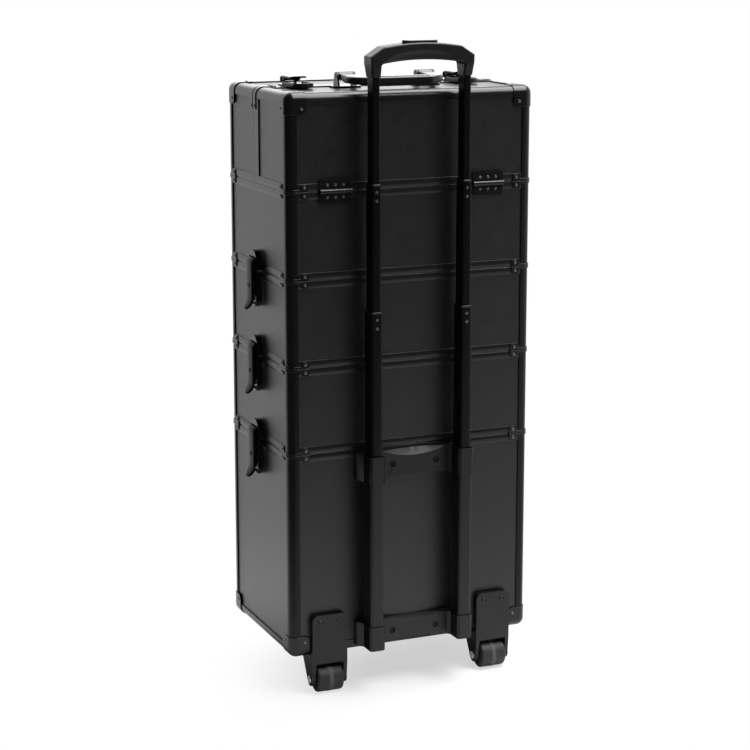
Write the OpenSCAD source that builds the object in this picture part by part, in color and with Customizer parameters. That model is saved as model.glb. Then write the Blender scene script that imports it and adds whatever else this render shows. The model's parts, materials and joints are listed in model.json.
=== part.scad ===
// Rolling makeup case: a base bin, two tiers, a top tray and a split lid, stacked on a
// two-wheeled base with a telescopic pull handle. Millimetres, +Z up, the pull handle at +Y.
// The origin is the middle of the footprint, on the floor.

/* [Case] */
// Width of the case over its edge profiles
case_w = 340; // [300:1:420]
// Depth of the case over its edge profiles
case_d = 220; // [200:1:280]
// Height of the base bin
base_h = 270; // [240:1:360]
// Height of each tier and of the top tray
tier_h = 112.5; // [100:0.5:160]
// Height of the lid
lid_h = 123; // [115:1:160]
// Height of the case bottom above the floor
ground = 52; // [46:1:80]
// Offset of the lid split from the middle, towards the back
split_y = -10; // [-30:1:30]
// Gap in each seam between stacked sections
seam_gap = 0.2; // [0.1:0.05:0.5]

/* [Panels and profiles] */
// Thickness of the wall panels
panel_t = 6; // [4:0.5:8]
// Thickness of the tier floors
floor_t = 4; // [3:0.5:6]
// Outer wall of the extruded profiles
wall = 1.5; // [1.2:0.1:2]
// Inner wall of the extruded profiles
inner_wall = 1.2; // [1:0.1:2]
// Clearance of a panel in its channel
fit = 0.1; // [0.05:0.05:0.3]
// Radius of the rounded edges
edge_r = 10; // [8:0.5:13]
// Length of the legs of the edge profile
leg = 14; // [13.5:0.5:20]
// Height of a seam rim
rim_h = 10; // [8:0.5:14]
// Web of a seam rim
rim_web = 2; // [1.5:0.1:3]
// Fall of a seam rim's bowed face towards its two edges
rim_bow = 0.9; // [0.3:0.1:1]
// Height of the locating tongue above a seam
tongue_h = 4.5; // [3:0.5:6]
// Thickness of the tongue
tongue_t = 1.2; // [1:0.1:2]
// Clearance of the tongue inside the rim above it
tongue_gap = 0.3; // [0.2:0.1:0.6]
// Reach of the ledge that carries a tier floor
ledge = 3.2; // [2:0.2:6]
// Visible leg of the closing profile on the back half of the lid
back_split_leg = 17; // [12:1:24]
// Visible leg of the closing profile on the front half of the lid
front_split_leg = 8; // [6:1:20]

/* [Corner fittings] */
// Thickness of the corner brackets and caps
bracket_t = 1.2; // [0.8:0.1:2]
// Leg of a corner bracket along each face
bracket_leg = 28; // [26:1:36]
// Height of the band of a corner bracket beside its seam
band_h = 3.2; // [2:0.2:5]
// Height of the rivet tabs of a corner bracket
bracket_h = 9.4; // [7:0.2:9.6]
// Width of a rivet tab
tab_w = 11; // [8:0.5:12]
// Rounding of a rivet tab
tab_r = 3.5; // [1:0.5:3.5]
// Reach of a corner cap along each edge
cap_ear = 27; // [20:1:27]
// Rounding of a corner cap's inner corners
cap_round = 8; // [4:1:10]
// Width of the straps over the lid's end profiles beside the split
strap_w = 9; // [6:0.5:12]
// Distance of a strap from the split
strap_in = 1; // [0.5:0.5:3]

/* [Hinges] */
// Distance of a hinge's middle from the end of the case
hinge_x = 64; // [56:1:90]
// Width of a hinge
hinge_w = 43; // [30:1:60]
// Height of a hinge leaf
leaf_h = 15.5; // [11:0.5:20]
// Thickness of a hinge leaf
leaf_t = 1.5; // [1:0.1:2]
// Radius of the hinge knuckles
knuckle_r = 3.2; // [2.8:0.1:3.4]
// Radius of the hinge pin
hinge_pin_r = 1.5; // [1:0.1:2]
// Distance of the hinge axis from the face of the case
hinge_off = 3.6; // [3.5:0.1:5]
// Number of knuckles in a hinge
knuckles = 5; // [3:2:7]
// Gap between neighbouring knuckles
knuckle_gap = 0.2; // [0.1:0.05:0.4]
// Radial clearance of a turning pin
pin_fit = 0.05; // [0.02:0.01:0.1]

/* [Latches] */
// Width of a latch's base plates
latch_w = 28; // [26:1:34]
// Reach of the pivot plate from the seam
latch_up = 26; // [22:1:32]
// Reach of the strike plate from the seam
latch_down = 48; // [44:1:60]
// Thickness of the base plates of the end latches
latch_plate_t = 3; // [2:0.2:3.4]
// Thickness of the base plates of the lid latches
lid_plate_t = 2; // [1.5:0.1:2]
// Rounding of the base plates
latch_round = 12; // [6:1:13]
// Height of the side walls of the end latches over the case
rail_h = 7.5; // [5:0.5:7.5]
// Side clearance of a lever between the walls
rail_gap = 0.4; // [0.3:0.05:0.6]
// Length of the closed foot of the strike's wall
rail_foot = 4; // [3:0.5:8]
// Width of a latch lever
lever_w = 23; // [20:1:24]
// Thickness of a lever's face and sides
lever_t = 1.8; // [1.2:0.1:2]
// Height of a lever's face over the case
lever_rise = 11; // [10.8:0.1:13]
// Height of the lever's pin over the case
pin_rise = 8; // [7.5:0.1:8.2]
// Distance of the lever's pin from the seam
pin_up = 12; // [9:0.5:15]
// Radius of the lever's pin
lever_pin_r = 1.6; // [1.2:0.1:1.8]
// Reach of the lever below the seam
lever_down = 50; // [46:1:62]
// Reach of a lid lever past the split
lid_lever_down = 24; // [18:1:40]
// Outward flare of the finger tip
tip_flare = 7; // [3:0.5:9]
// Length of the flared finger tip
tip_len = 13; // [10:1:20]
// Distance of the key hole below the seam
key_down = 20; // [14:1:24]
// Radius of the key hole
key_r = 3.4; // [2.6:0.1:4.5]
// Distance of a lid latch's middle from the end of the case
lid_latch_x = 54; // [46:1:75]

/* [Pull handle] */
// Distance of the lower bridge's foot from the wheel housing beside it
tube_x = 13.65; // [5:0.05:25]
// Width of the outer tube
tube_w = 18.5; // [17:0.5:22]
// Depth of the outer tube
tube_d = 27; // [24:0.5:32]
// Wall of the tubes
tube_wall = 1.2; // [1:0.1:1.4]
// Clearance between nested tubes, on each side
tube_gap = 0.3; // [0.2:0.05:0.4]
// Corner radius of the outer tube
tube_r = 3.5; // [2:0.25:3.5]
// Gap between the outer tube and the case
tube_off = 8; // [6:0.5:14]
// Bottom of the tubes over the case bottom
tube_low = 10; // [8:1:20]
// Distance of the outer tube's top below the top of the upper bridge
outer_top = 2.5; // [1:0.5:8]
// Height that the first stage shows when it is raised
stage_1_rise = 190; // [150:1:200]
// Height that the second stage shows when it is raised
stage_2_rise = 162; // [120:1:170]
// Height that the third stage shows when it is raised
stage_3_rise = 133; // [110:1:145]
// Length of each stage that stays in the one below
tube_overlap = 60; // [40:1:80]
// Reach of the grip past the middle of a tube
grip_half_w = 8; // [7:0.5:16]
// Height of the grip over the tube that carries it
grip_h = 42; // [38:1:52]
// Depth of the grip, front to back
grip_d = 26; // [22:1:32]
// Distance of the finger opening's end from the middle of a tube
finger_half_w = 6; // [6:0.5:14]
// Height of the finger opening's roof over the tube that carries the grip
finger_h = 17; // [14:1:20]
// Length of the release button
button_len = 48; // [30:1:60]
// Width of the release button
button_w = 12; // [8:1:14]
// Height that the button stands over the grip
button_rise = 3; // [3:0.1:5]
// Travel of the button
button_travel = 3; // [2:0.1:3]
// Height of the button's body
button_h = 11.5; // [9:0.5:13]

/* [Bridges] */
// Depth of the bridge blocks behind the case
bridge_d = 37; // [36.5:0.5:48]
// Depth of the bar between the blocks
bar_d = 10; // [7:0.5:14]
// Distance of the upper bridge's bottom below the first seam
upper_low = 39; // [38:1:70]
// Height of the upper bridge
upper_h = 35.5; // [28:0.5:37]
// Bottom of the lower bridge over the case bottom
lower_low = 7; // [4:0.5:13]
// Height of the lower bridge
lower_h = 32; // [26:0.5:40]
// Flare of a block towards the case, on each side
block_flare = 7; // [3:0.5:12]
// Distance of a screw from the bridge's block beside it
screw_x = 13.95; // [10:0.05:24]
// Depth of the hollow in the upper bridge's top edge
upper_scoop = 8; // [4:0.5:9]
// Depth of the hollow in the upper bridge's bottom edge
upper_arch = 3; // [1:0.5:5]
// Depth of the hollow in the lower bridge's top edge
lower_scoop = 6; // [2:0.5:8]
// Depth of the hollow in the lower bridge's bottom edge
lower_arch = 3; // [1:0.5:5]
// Radius of a screw's head
screw_head_r = 4; // [3:0.1:5]
// Radius of a screw's shank
screw_r = 2; // [1.5:0.1:2.5]

/* [Wheels and feet] */
// Distance of a wheel housing from the corner cap beside it
wheel_x = 0.7; // [0.4:0.1:20]
// Radius of a wheel
wheel_r = 18; // [15:0.5:20]
// Width of a wheel
wheel_w = 35; // [28:0.5:40]
// Radius of a wheel's axle
axle_r = 3; // [2.5:0.1:4]
// Distance of the axle in front of the back of the case
axle_in = 4; // [0:0.5:8]
// Side clearance of a wheel between its cheeks
wheel_gap = 1.8; // [0.5:0.1:3]
// Thickness of the housing's cheeks
cheek_t = 5; // [4:0.5:7]
// Thickness of the housing's back plate
housing_t = 7; // [5:0.5:10]
// Height of the housing's back plate over the case bottom
housing_h = 55; // [40:1:66]
// Reach of the back plate below the case bottom
apron_h = 11; // [7:0.5:13]
// Thickness of the housing's shelf under the case
shelf_t = 6; // [4:0.5:8]
// Rounding of the housing's back plate
housing_round = 8; // [4:0.5:12]
// Reach of the housing under the case
housing_reach = 34; // [26:1:40]
// Distance of a front foot's middle from the middle of the case
foot_x = 95; // [70:1:120]
// Distance of a front foot's middle from the front of the case
foot_y = 40; // [30:1:60]
// Radius of a front foot at the floor
foot_r = 15; // [12:0.5:20]
// Radius of a front foot's flange
foot_flange_r = 22; // [20.5:0.5:28]
// Thickness of a foot's pad
pad_t = 5; // [3:0.5:8]

/* [Carry handle] */
// Distance of a handle bracket from the middle of the case
carry_x = 56; // [45:1:75]
// Distance of the handle's pivot behind the lid split
carry_y = 32; // [24:1:40]
// Height of the handle's pivot over the lid
carry_rise = 13; // [12:0.5:16]
// Inside width of a handle bracket
carry_w = 21; // [14:1:28]
// Thickness of the bracket's ears and plate
carry_t = 2.5; // [2:0.1:3]
// Depth of a bracket's foot plate
carry_plate_d = 24; // [20:1:30]
// Reach of a bracket's foot plate past each ear
carry_plate_side = 6; // [4:0.5:10]
// Radius of the handle's pivot pin
carry_pin_r = 2.5; // [2:0.1:3]
// Distance from the pivot to the middle of the grip bar
carry_reach = 46; // [36:1:52]
// Drop of the grip bar below the pivot
carry_drop = 4.5; // [3:0.5:4.5]
// Width of the grip bar
carry_bar_w = 20; // [14:1:24]
// Thickness of the grip bar
carry_bar_t = 12; // [10:0.5:12]
// Thickness of the handle's arms
carry_arm_t = 7; // [5:0.5:8]
// Outer rounding of the two corners between the arms and the bar
carry_turn = 26; // [21:1:30]
// Length of the taper under each end of the bar
carry_taper = 26; // [15:1:40]
// Rise of the bar's underside at its ends
carry_end_rise = 5; // [2:0.5:6]

/* [Cantilever trays] */
// Distance of the first tray pivot from the hinge axis
tray_pivot = 24; // [22:1:30]
// Distance of a tray's outer pivots from its far side
pivot_gap = 7.8; // [7:0.2:12]
// Height of the tray pivots over the lid seam
pivot_h = 14; // [12:1:16]
// Length of a tray arm between its pivots
arm_len = 46; // [40:1:48]
// Lean of the arms towards the middle when the lid is shut
arm_lean = 50; // [46:1:52]
// Width of a tray arm
arm_w = 10; // [8:0.5:12]
// Thickness of a tray arm
arm_t = 2; // [1.5:0.1:2]
// Radius of the tray pivots
tray_pin_r = 2; // [1.5:0.1:2.5]
// Bottom of the trays over the lid seam
tray_low = 26; // [24:1:30]
// Height of the trays
tray_h = 46; // [36:1:48]
// Distance of a tray's near side from the hinge axis
tray_near = 16; // [15:1:22]
// Distance of a tray's far side from the lid split
tray_far = 6.5; // [5:0.5:12]
// Wall of the trays
tray_wall = 2; // [1.5:0.1:3]
// Side clearance between tray, arm, plate and rim
tray_gap = 0.3; // [0.2:0.05:0.5]

/* [Hidden] */
$fn = 48;

// Finishes
laminate = "#26262a";
anodised = "#1b1b1e";
hardware = "#151517";
moulded = "#1d1d20";
rubber = "#2c2c2f";

// A margin for cuts, and the small gap left between pieces that meet face to face
cut = 1;
seat = 0.05;

// Seams, from the case bottom up
seam_base = base_h;
seam_a = seam_base + tier_h;
seam_b = seam_a + tier_h;
seam_lid = seam_b + tier_h;

// Profile sections
slot = panel_t + 2 * fit;
core = wall + slot + inner_wall;
panel_in = wall + fit;
panel_end = core + fit;

// Hinge
hinge_mid = case_w / 2 - hinge_x;
front_reach = hinge_off + knuckle_r;
knuckle_len = hinge_w / knuckles;

// Latch
flange_in = lever_w / 2 - lever_t;
lug_out = flange_in - 0.4;
lug_t = 2.8;
lug_r = lever_rise - pin_rise - 0.4;
eye_r = pin_rise - latch_plate_t - 1.2;
lever_top = pin_up - 1;
lever_out = lever_rise + lever_t;
lever_round = 6;
tip_round = 10.5;
lid_side_up = 2;
lid_flare = 1;
side_reach = 30;
side_slope = 4;
rail_in = lever_w / 2 + rail_gap;
swing_top = pin_up + lever_out - pin_rise + 1.4;
lid_latch_mid = case_w / 2 - lid_latch_x;
flange_low = pin_rise - 1.5;
key_slot = 1.2;
lock_len = 22;
lock_w = 14;
lock_r = 3;
seam_half = 1;
lock_rise = 1.6;
lid_lock_rise = 0.5;
barrel_low = latch_plate_t + lock_rise + 1;
barrel_high = lever_out + 0.6;

// Tubes: outer size, wall and top of the nested stages
tube_y = case_d / 2 + tube_off + tube_d / 2;
nest = 2 * (tube_wall + tube_gap);
upper_z = seam_base - upper_low;
tube_top = upper_z + upper_h - outer_top;
stage_tops = [tube_top, tube_top + stage_1_rise, tube_top + stage_1_rise + stage_2_rise,
    tube_top + stage_1_rise + stage_2_rise + stage_3_rise];
grip_z = stage_tops[3];
socket_h = 12;
shoulder_in = 18;
shoulder_drop = 16;
grip_crown = 4.5;
grip_foot = 6;
grip_foot_d = tube_d - 3 * nest + 2.6;
grip_waist = 17;
finger_arch = 4;
grip_edge = 7;
finger_r = 4;
button_fit = 0.4;
block_side = 1.3;
screw_sink = 4;
screw_head_h = 2.4;
drive_w = 1.1;
block_chamfer = 3;

// Wheels and frame of the part
axle_z = wheel_r - ground;
axle_y = case_d / 2 - axle_in;
cheek_in = wheel_w / 2 + wheel_gap;
housing_half = cheek_in + cheek_t;
wheel_mid = case_w / 2 - cap_ear - wheel_x - housing_half;
axle_boss = axle_r + 6;
axle_head = 1.8;
axle_head_h = 1.5;
wheel_clear = 1.5;
block_half = tube_w / 2 + block_side;
tube_mid = wheel_mid - housing_half - tube_x - block_half - block_flare;
bar_half = tube_mid - block_half - block_flare;
screw_mid = bar_half - screw_x;
grip_half = tube_mid + grip_half_w;
finger_half = tube_mid - finger_half_w;
band_rise = 0.6;
foot_taper = 3;
flange_t = 4;
pad_edge = 1;
shoulder_r = 5;
hub_t = 3;
hub_sink = 1.5;
case_y = (front_reach - bridge_d) / 2;

// Carry handle
plate_corner = 5;
arm_steps = 12;
carry_eye = 2.8;
carry_side = 0.5;
bar_edge = 5;

// Cantilever trays: distances across the case, from the outside in
plate_out = case_w / 2 - core - tray_gap;
plate_t = 1.5;
arm_out = plate_out - plate_t - tray_gap;
tray_half = arm_out - arm_t - 4 * tray_gap;
arm_far = [tray_pivot + arm_len * sin(arm_lean), pivot_h + arm_len * cos(arm_lean)];
front_lid_d = case_d / 2 + split_y - seam_gap / 2;
back_lid_d = case_d / 2 - split_y - seam_gap / 2;
plate_r = 7;
loose_fit = 0.4;
plate_foot = 16;
function pivot_step(depth) = hinge_off + depth - tray_far - pivot_gap - arm_far[0];
function outer_pivot(depth) = tray_pivot + pivot_step(depth);

// Case frame: the middle of the case is at x = 0, y = 0, its bottom at z = 0
module in_case(z = 0) {
    translate([0, case_y, ground + z]) children();
}

// Side i of the case, 0 front, 1 right, 2 back, 3 left: x along the side, y inwards from its face
function side_len(i) = i % 2 == 0 ? case_w : case_d;
module side(i) {
    rotate(90 * i) translate([0, -side_len(i % 2 == 0 ? 1 : 0) / 2, 0]) children();
}

// A section, drawn inwards and upwards, carried along x
module run(len) {
    translate([-len / 2, 0, 0]) rotate([90, 0, 90]) linear_extrude(len) children();
}

// A square whose corner at the origin is rounded
module round_corner(size, r) {
    difference() {
        square(size);
        difference() {
            translate([-cut, -cut]) square(r + cut);
            translate([r, r]) circle(r);
        }
    }
}

// A rectangle centred on the origin with rounded corners
module round_rect(w, h, r) {
    square([w - 2 * r, h], center = true);
    square([w, h - 2 * r], center = true);
    for (x = [-1, 1], y = [-1, 1])
        translate([x * (w / 2 - r), y * (h / 2 - r)]) circle(r);
}

// A square with the corner at the origin rounded on all three edges
module corner_block(size, r) {
    intersection() {
        cube(size);
        union() {
            translate([r, r, r]) sphere(r);
            translate([r, r, r]) cylinder(r = r, h = size);
            translate([r, r, r]) rotate([0, 90, 0]) cylinder(r = r, h = size);
            translate([r, r, r]) rotate([-90, 0, 0]) cylinder(r = r, h = size);
            translate([r, r, 0]) cube(size);
            translate([r, 0, r]) cube(size);
            translate([0, r, r]) cube(size);
        }
    }
}

// Edge profile: a rounded corner with a channel for a panel along each leg
module edge_section() {
    difference() {
        round_corner(leg, edge_r);
        translate([wall, core]) square([slot, leg]);
        translate([core, wall]) square([leg, slot]);
        translate([core, core]) square(leg);
    }
}

// Rim profile at a seam: a channel for the panel with a bowed face
module rim_section() {
    r = (rim_h * rim_h / 4 + rim_bow * rim_bow) / (2 * rim_bow);
    difference() {
        intersection() {
            square([core, rim_h]);
            translate([r, rim_h / 2]) circle(r, $fn = 180);
        }
        translate([wall, rim_web]) square([slot, rim_h]);
    }
}

// Rim at the top of a section, drawn downwards from the seam, with the tongue that locates the next section
module top_rim_section(tongue) {
    mirror([0, 1]) rim_section();
    if (tongue) {
        translate([core - cut / 2, -rim_web]) square([cut / 2 + tongue_gap + tongue_t, rim_web]);
        translate([core + tongue_gap, -rim_web]) square([tongue_t, rim_web + tongue_h]);
    }
}

// Rim at the bottom of a tier, with the ledge that carries its floor
module bottom_rim_section(carries_floor) {
    rim_section();
    if (carries_floor)
        translate([core - inner_wall / 2, rim_h - rim_web]) square([ledge + inner_wall / 2, rim_web]);
}

// Four walls between two seams
module wall_panels(low, high) {
    for (i = [0:3])
        side(i) translate([-(side_len(i) / 2 - panel_end), panel_in, low])
            cube([side_len(i) - 2 * panel_end, panel_t, high - low]);
}

// Four corner posts
module posts(low, high) {
    for (i = [0:3])
        side(i) translate([-side_len(i) / 2, 0, low]) linear_extrude(high - low) edge_section();
}

// Rims along the four sides, between the posts
module rims(z) {
    for (i = [0:3])
        side(i) translate([0, 0, z]) run(side_len(i) - 2 * (leg + seat)) children();
}

// The plan of a corner bracket
module bracket_plan() {
    difference() {
        translate([-bracket_t, -bracket_t]) round_corner(bracket_leg + bracket_t, edge_r + bracket_t);
        translate([-seat, -seat]) round_corner(bracket_leg + cut, edge_r + seat);
    }
}

// Rivet tab of a bracket: x along the face from the corner, y away from the seam
module tab_outline() {
    translate([bracket_leg - tab_w / 2, 0]) intersection() {
        round_rect(tab_w, 2 * bracket_h, tab_r);
        translate([-tab_w, 0]) square([2 * tab_w, bracket_h]);
    }
}

// Corner bracket above a seam: a band round the corner with a rivet tab on each face
module seam_bracket() {
    linear_extrude(band_h) bracket_plan();
    for (m = [0, 1])
        mirror([m, -m, 0]) rotate([90, 0, 0]) translate([0, 0, seat])
            linear_extrude(bracket_t - seat) tab_outline();
}

// Four corner brackets beside a seam at z, above it (dir 1) or below it (dir -1)
module seam_brackets(z, dir) {
    for (i = [0:3])
        side(i) translate([-side_len(i) / 2, 0, z + dir * seat])
            mirror([0, 0, dir < 0 ? 1 : 0]) seam_bracket();
}

// What a cap leaves bare at the inner corner of one face
module cap_nib() {
    translate([cap_ear - cap_round, cap_ear - cap_round]) difference() {
        square(cap_round + 2 * cut);
        circle(cap_round);
    }
}

// Corner cap: a skin over three faces round a knuckle, slotted for the panels, that joins three profiles
module corner_cap() {
    t = bracket_t;
    difference() {
        translate([-t, -t, -t]) corner_block(cap_ear + t, edge_r + t);
        difference() {
            translate([-seat, -seat, -seat]) corner_block(cap_ear + cut, edge_r + seat);
            translate([-cut, -cut, -cut]) cube(leg + cut - seat);
        }
        translate([wall, core, core]) cube([slot, cap_ear, cap_ear]);
        translate([core, wall, core]) cube([cap_ear, slot, cap_ear]);
        translate([core, core, wall]) cube([cap_ear, cap_ear, slot]);
        translate([core, core, core]) cube(cap_ear);
        translate([0, 0, -t - cut]) linear_extrude(t + cut) cap_nib();
        rotate([90, 0, 0]) linear_extrude(t + cut) cap_nib();
        translate([-t - cut, 0, 0]) rotate([90, 0, 90]) linear_extrude(t + cut) cap_nib();
    }
}

// A whole tier between two seams, without its fittings
module tier_panels(low, high) {
    z = low + seam_gap;
    color(laminate) in_case() {
        wall_panels(z + rim_web + fit, high - rim_web - fit);
        translate([-(case_w / 2 - panel_end), -(case_d / 2 - panel_end), z + rim_h + seat])
            cube([case_w - 2 * panel_end, case_d - 2 * panel_end, floor_t]);
    }
}

module tier_frame(low, high, tongue) {
    z = low + seam_gap;
    color(anodised) in_case() {
        posts(z, high);
        rims(high) top_rim_section(tongue);
        rims(z) bottom_rim_section(true);
    }
}

module tier_corners(low, high) {
    color(hardware) in_case() {
        seam_brackets(low + seam_gap, 1);
        seam_brackets(high, -1);
    }
}

// Base bin
module base_panels() {
    color(laminate) in_case() {
        wall_panels(core + fit, seam_base - rim_web - fit);
        translate([-(case_w / 2 - panel_end), -(case_d / 2 - panel_end), panel_in])
            cube([case_w - 2 * panel_end, case_d - 2 * panel_end, panel_t]);
    }
}

module base_frame() {
    color(anodised) in_case() {
        posts(leg + seat, seam_base);
        rims(seam_base) top_rim_section(true);
        rims(0) edge_section();
    }
}

module base_corners() {
    color(hardware) in_case() {
        seam_brackets(seam_base, -1);
        for (i = [0:3])
            side(i) translate([-side_len(i) / 2, 0, 0]) corner_cap();
    }
}

// Latches: u along x, outwards along -y, up along z, with the seam at z = 0
module latch_outline(low, high) {
    below = low < 0;
    bottom = below ? low : low - latch_round;
    top = below ? high + latch_round : high;
    intersection() {
        translate([0, (bottom + top) / 2]) round_rect(latch_w, top - bottom, latch_round);
        translate([-latch_w, low]) square([2 * latch_w, high - low]);
    }
}

// Base plate of thickness t, with a wall up to rise that is open from swing_low to swing_high for the lever
module latch_base(low, high, t, rise, swing_low, swing_high) {
    rotate([90, 0, 0]) translate([0, 0, seat]) linear_extrude(t - seat) latch_outline(low, high);
    if (rise > t)
        rotate([90, 0, 0]) translate([0, 0, t / 2]) linear_extrude(rise - t / 2) difference() {
            latch_outline(low, high);
            translate([-rail_in, swing_low]) square([2 * rail_in, swing_high - swing_low]);
        }
}

// Pivot plate with two lugs and the lever's pin
module latch_cap(t, rise) {
    latch_base(seam_half, latch_up, t, rise, 0, swing_top);
    for (s = [-1, 1])
        translate([s * (lug_out - lug_t / 2), 0, 0]) run(lug_t) {
            translate([-pin_rise, pin_up]) circle(lug_r);
            translate([-pin_rise, pin_up - lug_r]) square([pin_rise - t / 2, 2 * lug_r]);
        }
    translate([0, -pin_rise, pin_up]) rotate([0, 90, 0])
        cylinder(r = lever_pin_r, h = lever_w, center = true);
}

// Strike plate with a low catch
module latch_strike(t, rise, lock) {
    latch_base(-latch_down, -seam_half, t, rise, rail_foot - latch_down, 0);
    translate([0, 0, -key_down]) rotate([90, 0, 0]) translate([0, 0, t / 2])
        linear_extrude(t / 2 + lock) round_rect(lock_w, lock_len, lock_r);
}

// Outline of a lever's face, rounder at the tip
module lever_outline(down) {
    top = pin_up + eye_r;
    intersection() {
        translate([0, (top - down) / 2]) round_rect(lever_w, top + down, lever_round);
        translate([0, top - down / 2]) round_rect(lever_w, 2 * top + down, tip_round);
    }
}

// Lever: a face with folded sides, eyes on the pin and a finger tip
module lever_blank(down, side_down, flare) {
    bend = tip_len - down;
    fold = lever_rise + lever_t / 2;
    intersection() {
        union() {
            run(lever_w) polygon([[-lever_rise, lever_top], [-lever_out, lever_top], [-lever_out, bend],
                [-lever_out - flare, -down], [lever_t - lever_out - flare, -down], [-lever_rise, bend]]);
            for (s = [-1, 1])
                translate([s * (lever_w - lever_t) / 2, 0, 0]) run(lever_t) {
                    translate([-pin_rise, pin_up]) circle(eye_r);
                    polygon([[-pin_rise, pin_up + eye_r], [-flange_low, pin_up], [-flange_low, -side_down],
                        [-fold, -side_down - side_slope], [-fold, lever_top], [-pin_rise - eye_r, pin_up]]);
                }
        }
        rotate([90, 0, 0]) linear_extrude(2 * lever_out) lever_outline(down);
    }
}

// The hole that a lever's pin turns in
module lever_bore() {
    translate([0, -pin_rise, pin_up]) rotate([0, 90, 0])
        cylinder(r = lever_pin_r + pin_fit, h = lever_w + cut, center = true);
}

// End lever with a slotted key barrel
module latch_lever() {
    difference() {
        union() {
            lever_blank(lever_down, side_reach, tip_flare);
            translate([0, 0, -key_down]) rotate([90, 0, 0]) translate([0, 0, barrel_low])
                cylinder(r = key_r, h = barrel_high - barrel_low);
        }
        lever_bore();
        translate([0, 0, -key_down]) rotate([90, 0, 0]) translate([0, 0, lever_out - key_slot])
            linear_extrude(lever_out) square([key_slot, key_r * 1.3], center = true);
    }
}

// A latch part on one end of the case, 1 right or 3 left, at a seam
module on_end(i, seam) {
    in_case(seam) side(i) children();
}

// A latch part on the lid, across the split
module on_lid(x) {
    in_case(seam_lid + lid_h) translate([x, split_y, 0]) rotate(180) rotate([-90, 0, 0]) children();
}

module end_strikes(seam) {
    color(hardware) for (i = [1, 3])
        on_end(i, seam) latch_strike(latch_plate_t, rail_h, lock_rise);
}

module end_caps(seam) {
    color(hardware) for (i = [1, 3])
        on_end(i, seam + seam_gap) latch_cap(latch_plate_t, rail_h);
}

module end_lever(i, seam) {
    color(hardware) on_end(i, seam + seam_gap) latch_lever();
}

module lid_lever(x) {
    color(hardware) on_lid(x * lid_latch_mid) difference() {
        lever_blank(lid_lever_down, -lid_side_up, lid_flare);
        lever_bore();
    }
}

module lid_latch_caps() {
    color(hardware) for (x = [-1, 1])
        on_lid(x * lid_latch_mid) latch_cap(lid_plate_t, 0);
}

module lid_latch_strikes() {
    color(hardware) for (x = [-1, 1])
        on_lid(x * lid_latch_mid) latch_strike(lid_plate_t, 0, lid_lock_rise);
}

// Hinge knuckles of one leaf, along x, cut from the other leaf's plate with a clearance
module knuckle_row(first, r) {
    for (k = [first:2:knuckles - 1])
        translate([(k + 0.5) * knuckle_len - hinge_w / 2, -hinge_off, 0]) rotate([0, 90, 0])
            cylinder(r = r, h = knuckle_len - (r > knuckle_r ? -knuckle_gap : knuckle_gap), center = true);
}

// One hinge leaf, above (dir 1) or below (dir -1) the seam at z = 0
module hinge_leaf(dir) {
    first = dir > 0 ? 1 : 0;
    difference() {
        union() {
            difference() {
                rotate([90, 0, 0]) translate([0, 0, seat]) linear_extrude(leaf_t - seat)
                    translate([0, dir * (leaf_h + seam_gap) / 2]) round_rect(hinge_w, leaf_h - seam_gap, 2);
                knuckle_row(1 - first, knuckle_r + 0.3);
            }
            intersection() {
                knuckle_row(first, knuckle_r);
                translate([-hinge_w, -2 * hinge_off - cut, -hinge_w])
                    cube([2 * hinge_w, 2 * hinge_off + cut - seat, 2 * hinge_w]);
            }
            intersection() {
                translate([-hinge_w / 2, -hinge_off, dir > 0 ? seam_gap : -leaf_t - seam_gap])
                    cube([hinge_w, hinge_off - seat, leaf_t]);
                for (k = [first:2:knuckles - 1])
                    translate([k * knuckle_len - hinge_w / 2 + knuckle_gap / 2, -hinge_off, -leaf_h])
                        cube([knuckle_len - knuckle_gap, hinge_off, 2 * leaf_h]);
            }
            if (dir < 0)
                translate([0, -hinge_off, 0]) rotate([0, 90, 0])
                    cylinder(r = hinge_pin_r, h = hinge_w, center = true);
        }
        if (dir > 0)
            translate([0, -hinge_off, 0]) rotate([0, 90, 0])
                cylinder(r = hinge_pin_r + pin_fit, h = hinge_w + cut, center = true);
    }
}

module hinge_leaves(i, dir) {
    color(hardware) for (x = [-1, 1])
        in_case(seam_lid) side(i) translate([x * hinge_mid, 0, 0]) hinge_leaf(dir);
}

// Lid half on side i: y runs inwards from the hinged face to the split, z up from the seam
module lid_half(i) {
    in_case(seam_lid) side(i) children();
}

module lid_panels(i, depth) {
    high = lid_h - core - fit;
    low = seam_gap + rim_web + fit;
    color(laminate) lid_half(i) {
        translate([-(case_w / 2 - panel_end), panel_in, low])
            cube([case_w - 2 * panel_end, panel_t, high - low]);
        for (s = [-1, 1])
            translate([s * (case_w / 2 - panel_in - panel_t / 2) - panel_t / 2, panel_end, low])
                cube([panel_t, depth - panel_end - panel_in, high - low]);
        translate([-(case_w / 2 - panel_end), panel_end, lid_h - panel_in - panel_t])
            cube([case_w - 2 * panel_end, depth - panel_end - panel_in, panel_t]);
    }
}

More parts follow.
